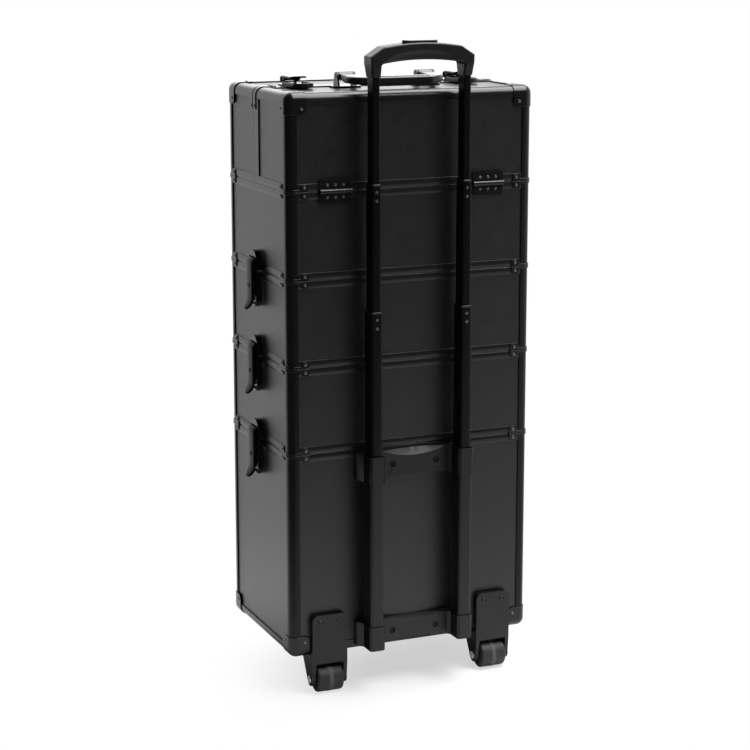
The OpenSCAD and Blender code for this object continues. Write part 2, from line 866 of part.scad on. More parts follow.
module lid_frame(i, depth, split_leg) {
    end_len = depth - leg - seat;
    post_high = lid_h - leg - seat;
    split_low = seam_gap + rim_h + seat;
    color(anodised) lid_half(i) {
        translate([0, 0, seam_gap]) {
            run(case_w - 2 * (leg + seat)) bottom_rim_section(false);
            for (s = [-1, 1])
                translate([s * case_w / 2, depth - end_len / 2, 0]) rotate(s * 90)
                    run(end_len) bottom_rim_section(false);
        }
        for (s = [0, 1])
            mirror([s, 0, 0]) translate([-case_w / 2, 0, 0]) {
                translate([0, 0, seam_gap]) linear_extrude(post_high - seam_gap) edge_section();
                translate([0, leg + seat, lid_h]) rotate([-90, 0, 0]) linear_extrude(end_len) edge_section();
                translate([0, depth - split_leg, split_low])
                    linear_extrude(post_high - split_low) split_section(split_leg);
            }
        translate([0, 0, lid_h]) mirror([0, 0, 1]) run(case_w - 2 * (leg + seat)) edge_section();
        translate([0, depth, lid_h]) mirror([0, 0, 1]) mirror([0, 1, 0]) run(case_w - 2 * (leg + seat))
            rotate(90) mirror([0, 1]) split_section_flat(split_leg);
    }
}

// Closing profile along the split: n across the panel, then along it towards the split
module split_section(split_leg) {
    difference() {
        square([core, split_leg]);
        translate([wall, -cut]) square([slot, split_leg - wall + cut]);
    }
}

module split_section_flat(split_leg) {
    translate([0, split_leg]) mirror([0, 1]) split_section(split_leg);
}

// Brackets, corner caps and split straps of a lid half
module lid_corners(i, depth) {
    color(hardware) lid_half(i)
        for (s = [0, 1])
            mirror([s, 0, 0]) translate([-case_w / 2, 0, 0]) {
                translate([0, 0, seam_gap + seat]) seam_bracket();
                translate([0, 0, lid_h]) mirror([0, 0, 1]) corner_cap();
                translate([0, depth - strap_in - strap_w, lid_h]) rotate([-90, 0, 0])
                    linear_extrude(strap_w) bracket_plan();
            }
}

// Pull handle tubes: stage 0 is fixed
module tube_pair(stage, low, high) {
    w = tube_w - stage * nest;
    d = tube_d - stage * nest;
    r = tube_r - stage * (nest / 2) / 2;
    color(anodised) in_case(low)
        for (x = [-1, 1])
            translate([x * tube_mid, tube_y, 0]) linear_extrude(high - low) difference() {
                round_rect(w, d, r);
                round_rect(w - 2 * tube_wall, d - 2 * tube_wall, r - tube_wall / 2);
            }
}

module outer_tubes() { tube_pair(0, tube_low, stage_tops[0]); }
module stage_1_tubes() { tube_pair(1, stage_tops[0] - tube_overlap, stage_tops[1]); }
module stage_2_tubes() { tube_pair(2, stage_tops[1] - tube_overlap, stage_tops[2]); }
module stage_3_tubes() { tube_pair(3, stage_tops[2] - tube_overlap, stage_tops[3] + socket_h); }

// Outline of the grip from behind, with z = 0 at the top of the tubes that carry it
module grip_outline() {
    shoulder = grip_half - shoulder_in;
    crown_r = (shoulder * shoulder + grip_crown * grip_crown) / (2 * grip_crown);
    arch_half = finger_half - finger_r;
    arch_r = (arch_half * arch_half + finger_arch * finger_arch) / (2 * finger_arch);
    foot_out = tube_mid + grip_foot;
    difference() {
        intersection() {
            polygon([[-foot_out, 0], [-grip_half, grip_waist], [-grip_half, grip_h - shoulder_drop],
                [-shoulder, grip_h - grip_crown], [0, grip_h + grip_crown], [shoulder, grip_h - grip_crown],
                [grip_half, grip_h - shoulder_drop], [grip_half, grip_waist], [foot_out, 0]]);
            translate([0, grip_h - crown_r]) circle(crown_r, $fn = 360);
        }
        translate([0, finger_h - grip_h]) round_rect(2 * finger_half, 2 * grip_h, finger_r);
        intersection() {
            translate([0, finger_h + finger_arch - arch_r]) circle(arch_r, $fn = 360);
            translate([-arch_half, finger_h - 1]) square([2 * arch_half, grip_h]);
        }
    }
}

// Outline of the grip from the end, drawn in towards the tubes
module grip_end() {
    r = grip_edge;
    foot = grip_foot_d / 2;
    side = grip_d / 2;
    polygon([[-foot, -cut], [foot, -cut], [side, grip_waist], [side, grip_h - r], [side - r, grip_h],
        [r - side, grip_h], [-side, grip_h - r], [-side, grip_waist]]);
    for (s = [-1, 1])
        translate([s * (side - r), grip_h - r]) circle(r);
}

module pull_grip() {
    w = tube_w - 3 * nest + 2 * fit;
    d = tube_d - 3 * nest + 2 * fit;
    color(moulded) in_case(grip_z) translate([0, tube_y, 0]) difference() {
        intersection() {
            rotate([90, 0, 0]) linear_extrude(grip_d, center = true) grip_outline();
            run(2 * grip_half + cut) grip_end();
        }
        for (x = [-1, 1])
            translate([x * tube_mid - w / 2, -d / 2, -cut]) cube([w, d, cut + socket_h + seat]);
        translate([0, 0, grip_h + button_rise - button_h - button_travel - button_fit]) linear_extrude(grip_h)
            round_rect(button_len + 2 * button_fit, button_w + 2 * button_fit, button_w / 2);
    }
}

module release_button() {
    color(hardware) in_case(grip_z + grip_h + button_rise - button_h) translate([0, tube_y, 0])
        linear_extrude(button_h) round_rect(button_len, button_w, button_w / 2 - 0.5);
}

// Plan of a bridge: two blocks round the tubes and a bar on the case, from depth y_in outwards
module bridge_plan(y_in) {
    half = block_half;
    foot = half + block_flare;
    foot_d = bar_d * 0.6;
    neck_d = tube_off + 6;
    for (x = [-1, 1])
        translate([x * tube_mid, 0])
            polygon([[-foot, y_in], [foot, y_in], [foot, foot_d], [half, neck_d],
                [half, bridge_d - block_chamfer], [half - block_chamfer, bridge_d],
                [block_chamfer - half, bridge_d], [-half, bridge_d - block_chamfer],
                [-half, neck_d], [-foot, foot_d]]);
    translate([-tube_mid, y_in]) square([2 * tube_mid, bar_d - y_in]);
}

// Bridge from low to high, let in to the panel from rim_low to rim_high, with hollows in the bar's two edges
module bridge(low, high, rim_low, rim_high, scoop_top, scoop_low) {
    half = bar_half;
    face_in = seat - panel_in;
    // A round hollow in the edge at z, of that depth at the bar's face, running out at the case
    module scoop(z, depth, dir) {
        lean = atan(depth / bar_d);
        d = depth * cos(lean);
        r = (half * half + d * d) / (2 * d);
        long = (bar_d + panel_in + cut) / cos(lean);
        translate([0, bar_d + r * sin(lean), z + dir * (r * cos(lean) - depth)])
            rotate([-90 - dir * lean, 0, 0]) translate([0, 0, -long])
                cylinder(r = r, h = long + cut, $fn = 180);
    }
    color(moulded) in_case() translate([0, case_d / 2, 0]) difference() {
        union() {
            translate([0, 0, low]) linear_extrude(high - low) bridge_plan(seat);
            translate([0, 0, rim_low]) linear_extrude(rim_high - rim_low) bridge_plan(face_in);
        }
        scoop(high, scoop_top, 1);
        scoop(low, scoop_low, -1);
        for (x = [-1, 1])
            translate([x * tube_mid, tube_y - case_d / 2, low - cut]) linear_extrude(high - low + 2 * cut)
                round_rect(tube_w + 2 * seat, tube_d + 2 * seat, tube_r);
        for (x = [-1, 1])
            translate([x * screw_mid, 0, (low + high) / 2]) rotate([-90, 0, 0]) {
                translate([0, 0, -cut - panel_in])
                    cylinder(r = screw_r + fit, h = bar_d + 2 * cut + panel_in);
                translate([0, 0, bar_d - screw_sink])
                    cylinder(r = screw_head_r + 3 * fit, h = screw_sink + cut);
            }
    }
}

module upper_bridge() {
    bridge(upper_z, upper_z + upper_h, upper_z, seam_base - rim_h - seat, upper_scoop, upper_arch);
}

module lower_bridge() {
    bridge(lower_low, lower_low + lower_h, leg + seat, lower_low + lower_h, lower_scoop, lower_arch);
}

// Pan head screws in the bars of both bridges
module bridge_screws() {
    color(hardware) in_case() translate([0, case_d / 2, 0])
        for (x = [-1, 1], z = [upper_z + upper_h / 2, lower_low + lower_h / 2])
            translate([x * screw_mid, 0, z]) rotate([-90, 0, 0]) {
                translate([0, 0, seat]) cylinder(r = screw_r, h = bar_d - screw_sink / 2);
                translate([0, 0, bar_d - screw_sink + seat]) difference() {
                    cylinder(r = screw_head_r, h = screw_head_h);
                    translate([0, 0, screw_head_h - drive_w]) linear_extrude(screw_head_h) {
                        square([screw_head_r, drive_w], center = true);
                        square([drive_w, screw_head_r], center = true);
                    }
                }
            }
}

// Wheel housing: a back plate, a shelf under the case and two cheeks that hold the axle
module wheel_housing() {
    half = housing_half;
    back = case_d / 2;
    low = -shelf_t;
    seat_h = housing_h - leg - housing_round - 2;
    cheek_low = axle_z - axle_boss * 0.44;
    difference() {
        union() {
            translate([0, back + housing_t, 0]) rotate([90, 0, 0])
              linear_extrude(housing_t - seat) intersection() {
                translate([0, -apron_h]) round_rect(2 * half, 2 * (housing_h + apron_h), housing_round);
                translate([-half, -apron_h]) square([2 * half, housing_h + apron_h]);
            }
            translate([cheek_t / 2 - half, back - panel_in + seat, leg + seat])
                cube([2 * half - cheek_t, panel_in + housing_t / 2, seat_h]);
            translate([-half, back - housing_reach, low])
                cube([2 * half, housing_reach + housing_t, -low - seat]);
            for (s = [-1, 1])
                translate([s * (cheek_in + cheek_t / 2), 0, 0]) run(cheek_t) {
                    translate([axle_y, axle_z]) circle(axle_boss);
                    polygon([[back - housing_reach, -seat], [axle_y - axle_boss * 0.9, cheek_low],
                        [axle_y + axle_boss * 0.9, cheek_low], [back + housing_t, -apron_h],
                        [back + housing_t, -seat]]);
                }
        }
        translate([0, axle_y, axle_z]) rotate([0, 90, 0])
            cylinder(r = axle_r + pin_fit, h = 4 * half, center = true);
        translate([0, axle_y, axle_z]) rotate([0, 90, 0])
            cylinder(r = wheel_r + wheel_clear, h = 2 * cheek_in, center = true);
    }
}

module wheel_housings() {
    color(moulded) in_case()
        for (x = [-1, 1])
            translate([x * wheel_mid, 0, 0]) wheel_housing();
}

// Axles with a rivet head at each end
module wheel_axles() {
    color("silver") in_case(axle_z)
        for (x = [-1, 1])
            translate([x * wheel_mid, axle_y, 0]) rotate([0, 90, 0]) {
                cylinder(r = axle_r, h = 2 * housing_half + 1, center = true);
                for (s = [-1, 1])
                    translate([0, 0, s * (housing_half + seat + axle_head_h / 2)])
                        cylinder(r = axle_r + axle_head, h = axle_head_h, center = true);
            }
}

// Wheel with rounded shoulders and a raised middle band
module wheel(x) {
    core_r = wheel_r - band_rise;
    color(rubber) in_case(axle_z) translate([x * wheel_mid, axle_y, 0]) rotate([0, 90, 0]) rotate_extrude() {
        difference() {
            union() {
                translate([0, shoulder_r - wheel_w / 2]) square([core_r, wheel_w - 2 * shoulder_r]);
                translate([0, -wheel_w / 2]) square([core_r - shoulder_r, wheel_w]);
                for (s = [-1, 1])
                    translate([core_r - shoulder_r, s * (wheel_w / 2 - shoulder_r)]) circle(shoulder_r);
                translate([0, -wheel_w / 6]) square([wheel_r, wheel_w / 3]);
            }
            translate([-wheel_r, -wheel_w]) square([wheel_r + axle_r + pin_fit, 2 * wheel_w]);
            for (s = [-1, 1])
                translate([axle_r + hub_t, s * wheel_w / 2 - hub_sink])
                    square([core_r - shoulder_r - axle_r - 2 * hub_t + 1, 2 * hub_sink]);
        }
    }
}

module left_wheel() { wheel(-1); }
module right_wheel() { wheel(1); }

// Front feet: a flange under the case, a tapered leg and a pad
module front_feet() {
    h = ground - pad_t + panel_in - seat;
    color(moulded) in_case()
        for (x = [-1, 1])
            translate([x * foot_x, foot_y - case_d / 2, pad_t - ground]) rotate_extrude()
                polygon([[0, 0], [foot_r, 0], [foot_r + foot_taper, h - 2 * flange_t - 1],
                    [foot_flange_r, h - flange_t], [foot_flange_r, h], [0, h]]);
}

module foot_pads() {
    top = pad_t - seat;
    color(rubber) in_case(-ground)
        for (x = [-1, 1])
            translate([x * foot_x, foot_y - case_d / 2, 0]) rotate_extrude()
                polygon([[0, 0], [foot_r - pad_edge, 0], [foot_r, pad_edge], [foot_r, top], [0, top]]);
}

// Carry handle: y from the split, z from the lid top
module on_carry() {
    in_case(seam_lid + lid_h) translate([0, split_y, 0]) children();
}

// Two brackets with a pin between their ears
module carry_brackets() {
    ear_r = carry_pin_r + 3;
    ear_foot = carry_plate_d * 3 / 8;
    plate_z = seat - panel_in;
    plate_w = carry_w + 2 * (carry_t + carry_plate_side);
    color(hardware) on_carry()
        for (x = [-1, 1])
            translate([x * carry_x, carry_y, 0]) {
                translate([0, 0, plate_z]) linear_extrude(carry_t)
                    round_rect(plate_w, carry_plate_d, plate_corner);
                for (s = [-1, 1])
                    translate([s * (carry_w + carry_t) / 2, 0, 0]) run(carry_t) {
                        translate([0, carry_rise]) circle(ear_r);
                        polygon([[-ear_foot, plate_z + carry_t / 2], [ear_foot, plate_z + carry_t / 2],
                            [ear_r * 0.95, carry_rise], [-ear_r * 0.95, carry_rise]]);
                    }
                translate([0, 0, carry_rise]) rotate([0, 90, 0])
                    cylinder(r = carry_pin_r, h = carry_w + 2 * carry_t, center = true);
            }
}

// Side outline of the handle: arms that dip in an S curve to a thicker bar
module carry_side_outline() {
    bar_in = carry_reach - carry_bar_w / 2;
    bar_out = carry_reach + carry_bar_w / 2;
    function ease(t) = t * t * (3 - 2 * t);
    function top(t) = carry_arm_t / 2 + ease(t) * (carry_bar_t / 2 - carry_drop - carry_arm_t / 2);
    function low(t) = -carry_arm_t / 2 - ease(t) * (carry_bar_t / 2 + carry_drop - carry_arm_t / 2);
    upper = [for (k = [0:arm_steps]) [bar_in * k / arm_steps, top(k / arm_steps)]];
    lower = [for (k = [arm_steps:-1:0]) [bar_in * k / arm_steps, low(k / arm_steps)]];
    polygon(concat(upper, [[bar_out - bar_edge / 2, top(1)], [bar_out, top(1) - bar_edge / 2],
        [bar_out, low(1) + bar_edge], [bar_out - bar_edge, low(1)]], lower));
}

// Plan of the handle: two arms and a bar, with round corners between them
module carry_plan(arm_half) {
    out = carry_x + arm_half;
    end = carry_reach + carry_bar_w / 2;
    difference() {
        intersection() {
            round_rect(2 * out, 2 * end, carry_turn);
            translate([-out, 0]) square([2 * out, 2 * end]);
        }
        round_rect(2 * (carry_x - arm_half), 2 * (carry_reach - carry_bar_w / 2), carry_turn / 3);
    }
}

// Front outline of the handle, its underside rising towards both ends
module carry_front_outline(half) {
    top = carry_arm_t + carry_drop;
    low = -carry_drop - carry_bar_t / 2;
    flat = half - carry_taper;
    polygon([[-half, top], [-half, low + carry_end_rise], [-flat, low], [flat, low],
        [half, low + carry_end_rise], [half, top]]);
}

module carry_grip() {
    arm_half = carry_w / 2 - carry_side;
    half = carry_x + arm_half;
    deep = 2 * (carry_reach + carry_bar_w);
    color(hardware) on_carry() translate([0, carry_y, carry_rise]) difference() {
        union() {
            intersection() {
                linear_extrude(4 * carry_bar_t, center = true) carry_plan(arm_half);
                run(2 * half) carry_side_outline();
                rotate([90, 0, 0]) linear_extrude(deep, center = true) carry_front_outline(half);
            }
            for (x = [-1, 1])
                translate([x * carry_x, 0, 0]) run(2 * arm_half) circle(carry_pin_r + carry_eye);
        }
        for (x = [-1, 1])
            translate([x * carry_x, 0, 0]) rotate([0, 90, 0])
                cylinder(r = carry_pin_r + pin_fit, h = carry_w, center = true);
    }
}

// Cantilever trays on side i: y from the hinge axis inwards, z from the lid seam up
module on_tray(i) {
    in_case(seam_lid) side(i) translate([0, -hinge_off, 0]) children();
}

module pivots(points, near, far, r) {
    for (s = [-1, 1], p = points)
        translate([s * (near + far) / 2, p[0], p[1]]) rotate([0, 90, 0])
            cylinder(r = r, h = far - near, center = true);
}

// Plates on the end walls that carry the fixed pivots of the tray on side i
module pivot_plates(i, depth) {
    fixed = [[tray_pivot, pivot_h], [outer_pivot(depth), pivot_h]];
    low = -rim_h - plate_foot - 4;
    reach = case_w / 2 - panel_in - panel_t - seat;
    color(hardware) on_tray(i) {
        for (s = [0, 1])
            mirror([s, 0, 0]) {
                translate([plate_out - plate_t / 2, 0, 0]) run(plate_t) {
                    translate([tray_pivot - plate_r, low])
                        square([pivot_step(depth) + 2 * plate_r, pivot_h - low]);
                    for (p = fixed)
                        translate(p) circle(plate_r);
                }
                translate([plate_out - plate_t, tray_pivot, low])
                    cube([reach - plate_out + plate_t, pivot_step(depth), plate_foot]);
            }
        pivots(fixed, arm_out - arm_t, plate_out - plate_t / 2, tray_pin_r);
    }
}

// One pair of parallel arms from pivot p
module tray_arms(i, p, far_fit) {
    far = [p + arm_len * sin(arm_lean), pivot_h + arm_len * cos(arm_lean)];
    color(hardware) on_tray(i) difference() {
        for (s = [-1, 1])
            translate([s * (arm_out - arm_t / 2), p, pivot_h]) rotate([-arm_lean, 0, 0]) run(arm_t) {
                translate([-arm_w / 2, 0]) square([arm_w, arm_len]);
                circle(arm_w / 2);
                translate([0, arm_len]) circle(arm_w / 2);
            }
        pivots([[p, pivot_h]], arm_out - arm_t - cut, arm_out + cut, tray_pin_r + pin_fit);
        pivots([far], arm_out - arm_t - cut, arm_out + cut, tray_pin_r + far_fit);
    }
}

// Open tray with the pins of its two arms
module cantilever_tray(i, depth) {
    deep = hinge_off + depth - tray_far - tray_near;
    far_b = [arm_far[0] + pivot_step(depth), arm_far[1]];
    color(moulded) on_tray(i) {
        difference() {
            translate([-tray_half, tray_near, tray_low]) cube([2 * tray_half, deep, tray_h]);
            translate([-tray_half + tray_wall, tray_near + tray_wall, tray_low + tray_wall])
                cube([2 * (tray_half - tray_wall), deep - 2 * tray_wall, tray_h]);
        }
        pivots([arm_far, far_b], tray_half - tray_wall / 2, arm_out, tray_pin_r);
    }
}

// Sub-parts that repeat, one module each
module base_latch_strikes() { end_strikes(seam_base); }
module tier_a_panels() { tier_panels(seam_base, seam_a); }
module tier_a_frame() { tier_frame(seam_base, seam_a, true); }
module tier_a_corners() { tier_corners(seam_base, seam_a); }
module tier_a_latch_fittings() { end_caps(seam_base); end_strikes(seam_a); }
module tier_b_panels() { tier_panels(seam_a, seam_b); }
module tier_b_frame() { tier_frame(seam_a, seam_b, true); }
module tier_b_corners() { tier_corners(seam_a, seam_b); }
module tier_b_latch_fittings() { end_caps(seam_a); end_strikes(seam_b); }
module top_tray_panels() { tier_panels(seam_b, seam_lid); }
module top_tray_frame() { tier_frame(seam_b, seam_lid, false); }
module top_tray_corners() { tier_corners(seam_b, seam_lid); }
module top_tray_latch_caps() { end_caps(seam_b); }
module top_tray_hinge_leaves() { hinge_leaves(0, -1); hinge_leaves(2, -1); }
module tray_pivot_plates() { pivot_plates(0, front_lid_d); pivot_plates(2, back_lid_d); }
module tier_a_left_lever() { end_lever(3, seam_base); }
module tier_a_right_lever() { end_lever(1, seam_base); }
module tier_b_left_lever() { end_lever(3, seam_a); }
module tier_b_right_lever() { end_lever(1, seam_a); }
module top_tray_left_lever() { end_lever(3, seam_b); }
module top_tray_right_lever() { end_lever(1, seam_b); }
module lid_left_lever() { lid_lever(-1); }
module lid_right_lever() { lid_lever(1); }
module front_lid_panels() { lid_panels(0, front_lid_d); }
module front_lid_frame() { lid_frame(0, front_lid_d, front_split_leg); }
module front_lid_corners() { lid_corners(0, front_lid_d); }
module front_lid_hinge_leaves() { hinge_leaves(0, 1); }
module back_lid_panels() { lid_panels(2, back_lid_d); }
module back_lid_frame() { lid_frame(2, back_lid_d, back_split_leg); }
module back_lid_corners() { lid_corners(2, back_lid_d); }
module back_lid_hinge_leaves() { hinge_leaves(2, 1); }
module front_tray() { cantilever_tray(0, front_lid_d); }
module front_arm_a() { tray_arms(0, tray_pivot, pin_fit); }
module front_arm_b() { tray_arms(0, outer_pivot(front_lid_d), loose_fit); }
module back_tray() { cantilever_tray(2, back_lid_d); }
module back_arm_a() { tray_arms(2, tray_pivot, pin_fit); }
module back_arm_b() { tray_arms(2, outer_pivot(back_lid_d), loose_fit); }

base_panels();
base_frame();
base_corners();
base_latch_strikes();
outer_tubes();
upper_bridge();
lower_bridge();
bridge_screws();
wheel_housings();
wheel_axles();
front_feet();
foot_pads();
left_wheel();
right_wheel();
stage_1_tubes();
stage_2_tubes();
stage_3_tubes();
pull_grip();
release_button();
tier_a_panels();
tier_a_frame();
tier_a_corners();
tier_a_latch_fittings();
tier_b_panels();
tier_b_frame();
tier_b_corners();
tier_b_latch_fittings();
top_tray_panels();
top_tray_frame();
top_tray_corners();
top_tray_latch_caps();
top_tray_hinge_leaves();
tray_pivot_plates();
tier_a_left_lever();
tier_a_right_lever();
tier_b_left_lever();
tier_b_right_lever();
top_tray_left_lever();
top_tray_right_lever();
lid_left_lever();
lid_right_lever();
front_lid_panels();
front_lid_frame();
front_lid_corners();
front_lid_hinge_leaves();
lid_latch_caps();
back_lid_panels();
back_lid_frame();
back_lid_corners();
back_lid_hinge_leaves();
lid_latch_strikes();
carry_brackets();
carry_grip();
front_tray();
front_arm_a();
front_arm_b();
back_tray();
back_arm_a();
back_arm_b();
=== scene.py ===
"""Looks of a rolling makeup case: finishes, fittings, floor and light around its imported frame."""

from __future__ import annotations

import json
import logging
import math
from dataclasses import dataclass, field
from enum import Enum
from typing import Any, Callable, Union

import bmesh
import bpy
import numpy as np
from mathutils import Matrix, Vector

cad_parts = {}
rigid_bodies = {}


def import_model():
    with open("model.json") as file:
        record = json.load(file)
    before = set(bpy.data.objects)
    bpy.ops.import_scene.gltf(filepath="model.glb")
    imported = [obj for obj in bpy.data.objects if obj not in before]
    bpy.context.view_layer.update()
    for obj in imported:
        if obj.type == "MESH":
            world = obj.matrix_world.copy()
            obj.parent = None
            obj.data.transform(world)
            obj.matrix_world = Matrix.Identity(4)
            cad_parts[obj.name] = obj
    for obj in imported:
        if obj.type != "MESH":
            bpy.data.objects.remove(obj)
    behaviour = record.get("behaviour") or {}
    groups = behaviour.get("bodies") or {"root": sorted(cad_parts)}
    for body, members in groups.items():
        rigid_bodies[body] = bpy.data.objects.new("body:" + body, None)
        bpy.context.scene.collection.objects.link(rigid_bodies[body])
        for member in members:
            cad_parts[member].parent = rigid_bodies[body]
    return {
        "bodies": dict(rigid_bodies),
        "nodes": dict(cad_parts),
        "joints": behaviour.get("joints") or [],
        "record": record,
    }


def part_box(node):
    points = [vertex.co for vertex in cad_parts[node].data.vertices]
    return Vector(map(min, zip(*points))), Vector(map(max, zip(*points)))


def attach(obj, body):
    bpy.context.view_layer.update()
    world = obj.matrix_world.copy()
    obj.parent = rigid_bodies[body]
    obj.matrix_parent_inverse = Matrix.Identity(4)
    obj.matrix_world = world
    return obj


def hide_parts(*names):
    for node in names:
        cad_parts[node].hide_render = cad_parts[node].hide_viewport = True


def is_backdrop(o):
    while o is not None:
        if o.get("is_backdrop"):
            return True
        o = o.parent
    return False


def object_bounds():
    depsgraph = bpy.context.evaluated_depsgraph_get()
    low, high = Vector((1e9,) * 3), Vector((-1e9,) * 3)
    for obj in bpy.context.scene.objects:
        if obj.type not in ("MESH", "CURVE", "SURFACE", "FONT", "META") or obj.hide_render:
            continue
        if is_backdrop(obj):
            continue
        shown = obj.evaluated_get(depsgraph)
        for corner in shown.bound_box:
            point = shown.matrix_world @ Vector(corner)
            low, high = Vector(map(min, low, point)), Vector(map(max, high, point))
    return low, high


LOG = logging.getLogger("makeup_case")
MM = 0.001
TAU = 2.0 * math.pi
# Radius at which a turned profile ends, just short of its axis.
POLE = 0.02 * MM
# Length below which a direction counts as none.
TINY = 1e-12
# Share of z in a unit direction from which it counts as upright.
UPRIGHT = 0.9
# Blue of a neutral shade over its red and green.
COOL = 1.03
# Socket numbers of a Mix node's two colours and of the colour between them.
MIX_LOW, MIX_HIGH, MIX_COLOUR = 6, 7, 2
# Turns the right side of an outline into the left one.
MIRROR = np.array([-1.0, 1.0])
Array = np.ndarray
Colour = tuple[float, float, float]


class Flow:
    """A shader socket that takes part in Python arithmetic."""

    def __init__(self, graph: Graph, socket: bpy.types.NodeSocket) -> None:
        """Keep the socket and the graph that it belongs to."""
        self.graph = graph
        self.socket = socket

    def _math(self, operation: str, *terms: Term) -> Flow:
        """Add one Math node on the terms and return its result."""
        return self.graph.add("ShaderNodeMath", {"operation": operation}, dict(enumerate(terms)))

    def __add__(self, other: Term) -> Flow:
        """Sum."""
        return self._math("ADD", self, other)

    def __radd__(self, other: Term) -> Flow:
        """Sum with a number on the left."""
        return self._math("ADD", other, self)

    def __sub__(self, other: Term) -> Flow:
        """Difference."""
        return self._math("SUBTRACT", self, other)

    def __rsub__(self, other: Term) -> Flow:
        """Difference from a number on the left."""
        return self._math("SUBTRACT", other, self)

    def __mul__(self, other: Term) -> Flow:
        """Product."""
        return self._math("MULTIPLY", self, other)

    def __rmul__(self, other: Term) -> Flow:
        """Product with a number on the left."""
        return self._math("MULTIPLY", other, self)

    def __truediv__(self, other: Term) -> Flow:
        """Quotient."""
        return self._math("DIVIDE", self, other)

    def larger(self, other: Term) -> Flow:
        """The larger of the two values."""
        return self._math("MAXIMUM", self, other)

    def ramp(self, low: float, high: float) -> Flow:
        """A smooth step from 0 at low to 1 at high.

        Args:
            low: value at which the step starts.
            high: value at which it is complete.

        Returns:
            The step.
        """
        settings = {"interpolation_type": "SMOOTHSTEP"}
        inputs = {"Value": self, "From Min": low, "From Max": high}
        return self.graph.add("ShaderNodeMapRange", settings, inputs)


Term = Union[Flow, float]


class Graph:
    """The nodes of one material or world, with one method that adds any node."""

    def __init__(self, tree: bpy.types.NodeTree) -> None:
        """Start from an empty tree."""
        self.tree = tree
        tree.nodes.clear()

    def add(
        self, kind: str, settings: dict | None = None, inputs: dict | None = None, output: Any = 0
    ) -> Flow:
        """Add a node.

        Args:
            kind: Blender's type of the node.
            settings: attributes of the node, set before its sockets.
            inputs: socket names or numbers, each with a value or a Flow to link.
            output: name or number of the output wanted.

        Returns:
            The node's output as a Flow.
        """
        node = self.tree.nodes.new(kind)
        for key, value in (settings or {}).items():
            setattr(node, key, value)
        for key, value in (inputs or {}).items():
            if isinstance(value, Flow):
                self.tree.links.new(value.socket, node.inputs[key])
            else:
                node.inputs[key].default_value = value
        return Flow(self, node.outputs[output])

    def place(self, stretch: Colour = (1.0, 1.0, 1.0)) -> Flow:
        """Object coordinates, each axis multiplied by its stretch."""
        spot = self.add("ShaderNodeTexCoord", output="Object")
        return self.add("ShaderNodeVectorMath", {"operation": "MULTIPLY"}, {0: spot, 1: stretch})

    def noise(self, at: Flow, scale: float, detail: float = 2.0, rough: float = 0.5) -> Flow:
        """Fractal noise between about 0.2 and 0.8."""
        inputs = {"Vector": at, "Scale": scale, "Detail": detail, "Roughness": rough}
        return self.add("ShaderNodeTexNoise", None, inputs)

    def mix(self, factor: Flow, low: Colour, high: Colour) -> Flow:
        """A colour between low and high."""
        inputs = {"Factor": factor, MIX_LOW: (*low, 1.0), MIX_HIGH: (*high, 1.0)}
        return self.add("ShaderNodeMix", {"data_type": "RGBA"}, inputs, MIX_COLOUR)

    def bump(self, height: Flow, depth: float) -> Flow:
        """A normal from a height field of that depth in metres."""
        inputs = {"Height": height, "Distance": depth, "Strength": 1.0}
        return self.add("ShaderNodeBump", None, inputs)

    def end(self, shader: Flow, kind: str = "ShaderNodeOutputMaterial") -> None:
        """Link the shader to the output node."""
        node = self.tree.nodes.new(kind)
        self.tree.links.new(shader.socket, node.inputs["Surface"])


def shade(value: float) -> Colour:
    """A neutral colour, a trace cool."""
    return (value, value, value * COOL)


@dataclass(frozen=True)
class GrainedFinish:
    """A black surface with a fine mottle and a two-scale relief.

    The tone and the roughness follow a fine noise with a small share of a slow one. The relief adds a
    cell pattern, whose walls read as grain, to the fine noise.
    """

    name: str
    slot: str
    dark: float
    light: float
    rough: float
    rough_spread: float = 0.08
    specular: float = 0.5
    cell: float = 3.0 * MM
    cell_depth: float = 0.0
    fine: float = 0.5 * MM
    fine_depth: float = 0.006 * MM
    stretch: Colour = (1.0, 1.0, 1.0)
    metallic: float = 0.0
    blotch_cells: float = 14.0
    slow_detail: float = 3.0
    fine_detail: float = 2.0
    fine_rough: float = 0.6
    slow_tone: float = 0.2
    tone_span: tuple[float, float] = (0.35, 0.65)
    slow_rough: float = 0.15

    def build(self) -> bpy.types.Material:
        """Make the material.

        Returns:
            The material.
        """
        material = bpy.data.materials.new(self.name)
        material.use_nodes = True
        graph = Graph(material.node_tree)
        at = graph.place(self.stretch)
        slow = graph.noise(at, 1.0 / (self.blotch_cells * self.cell), self.slow_detail)
        fine = graph.noise(at, 1.0 / self.fine, self.fine_detail, self.fine_rough)
        grain = {"Vector": at, "Scale": 1.0 / self.cell}
        cells = graph.add("ShaderNodeTexVoronoi", {"feature": "SMOOTH_F1"}, grain)
        relief = cells * (self.cell_depth / self.fine_depth) + fine
        tone = (self.slow_tone * slow + (1.0 - self.slow_tone) * fine).ramp(*self.tone_span)
        middle = 0.5 * (1.0 + self.slow_rough)
        inputs = {
            "Base Color": graph.mix(tone, shade(self.dark), shade(self.light)),
            "Roughness": self.rough + self.rough_spread * (self.slow_rough * slow + fine - middle),
            "Metallic": self.metallic,
            "Specular IOR Level": self.specular,
            "Normal": graph.bump(relief, self.fine_depth),
        }
        graph.end(graph.add("ShaderNodeBsdfPrincipled", None, inputs))
        return material


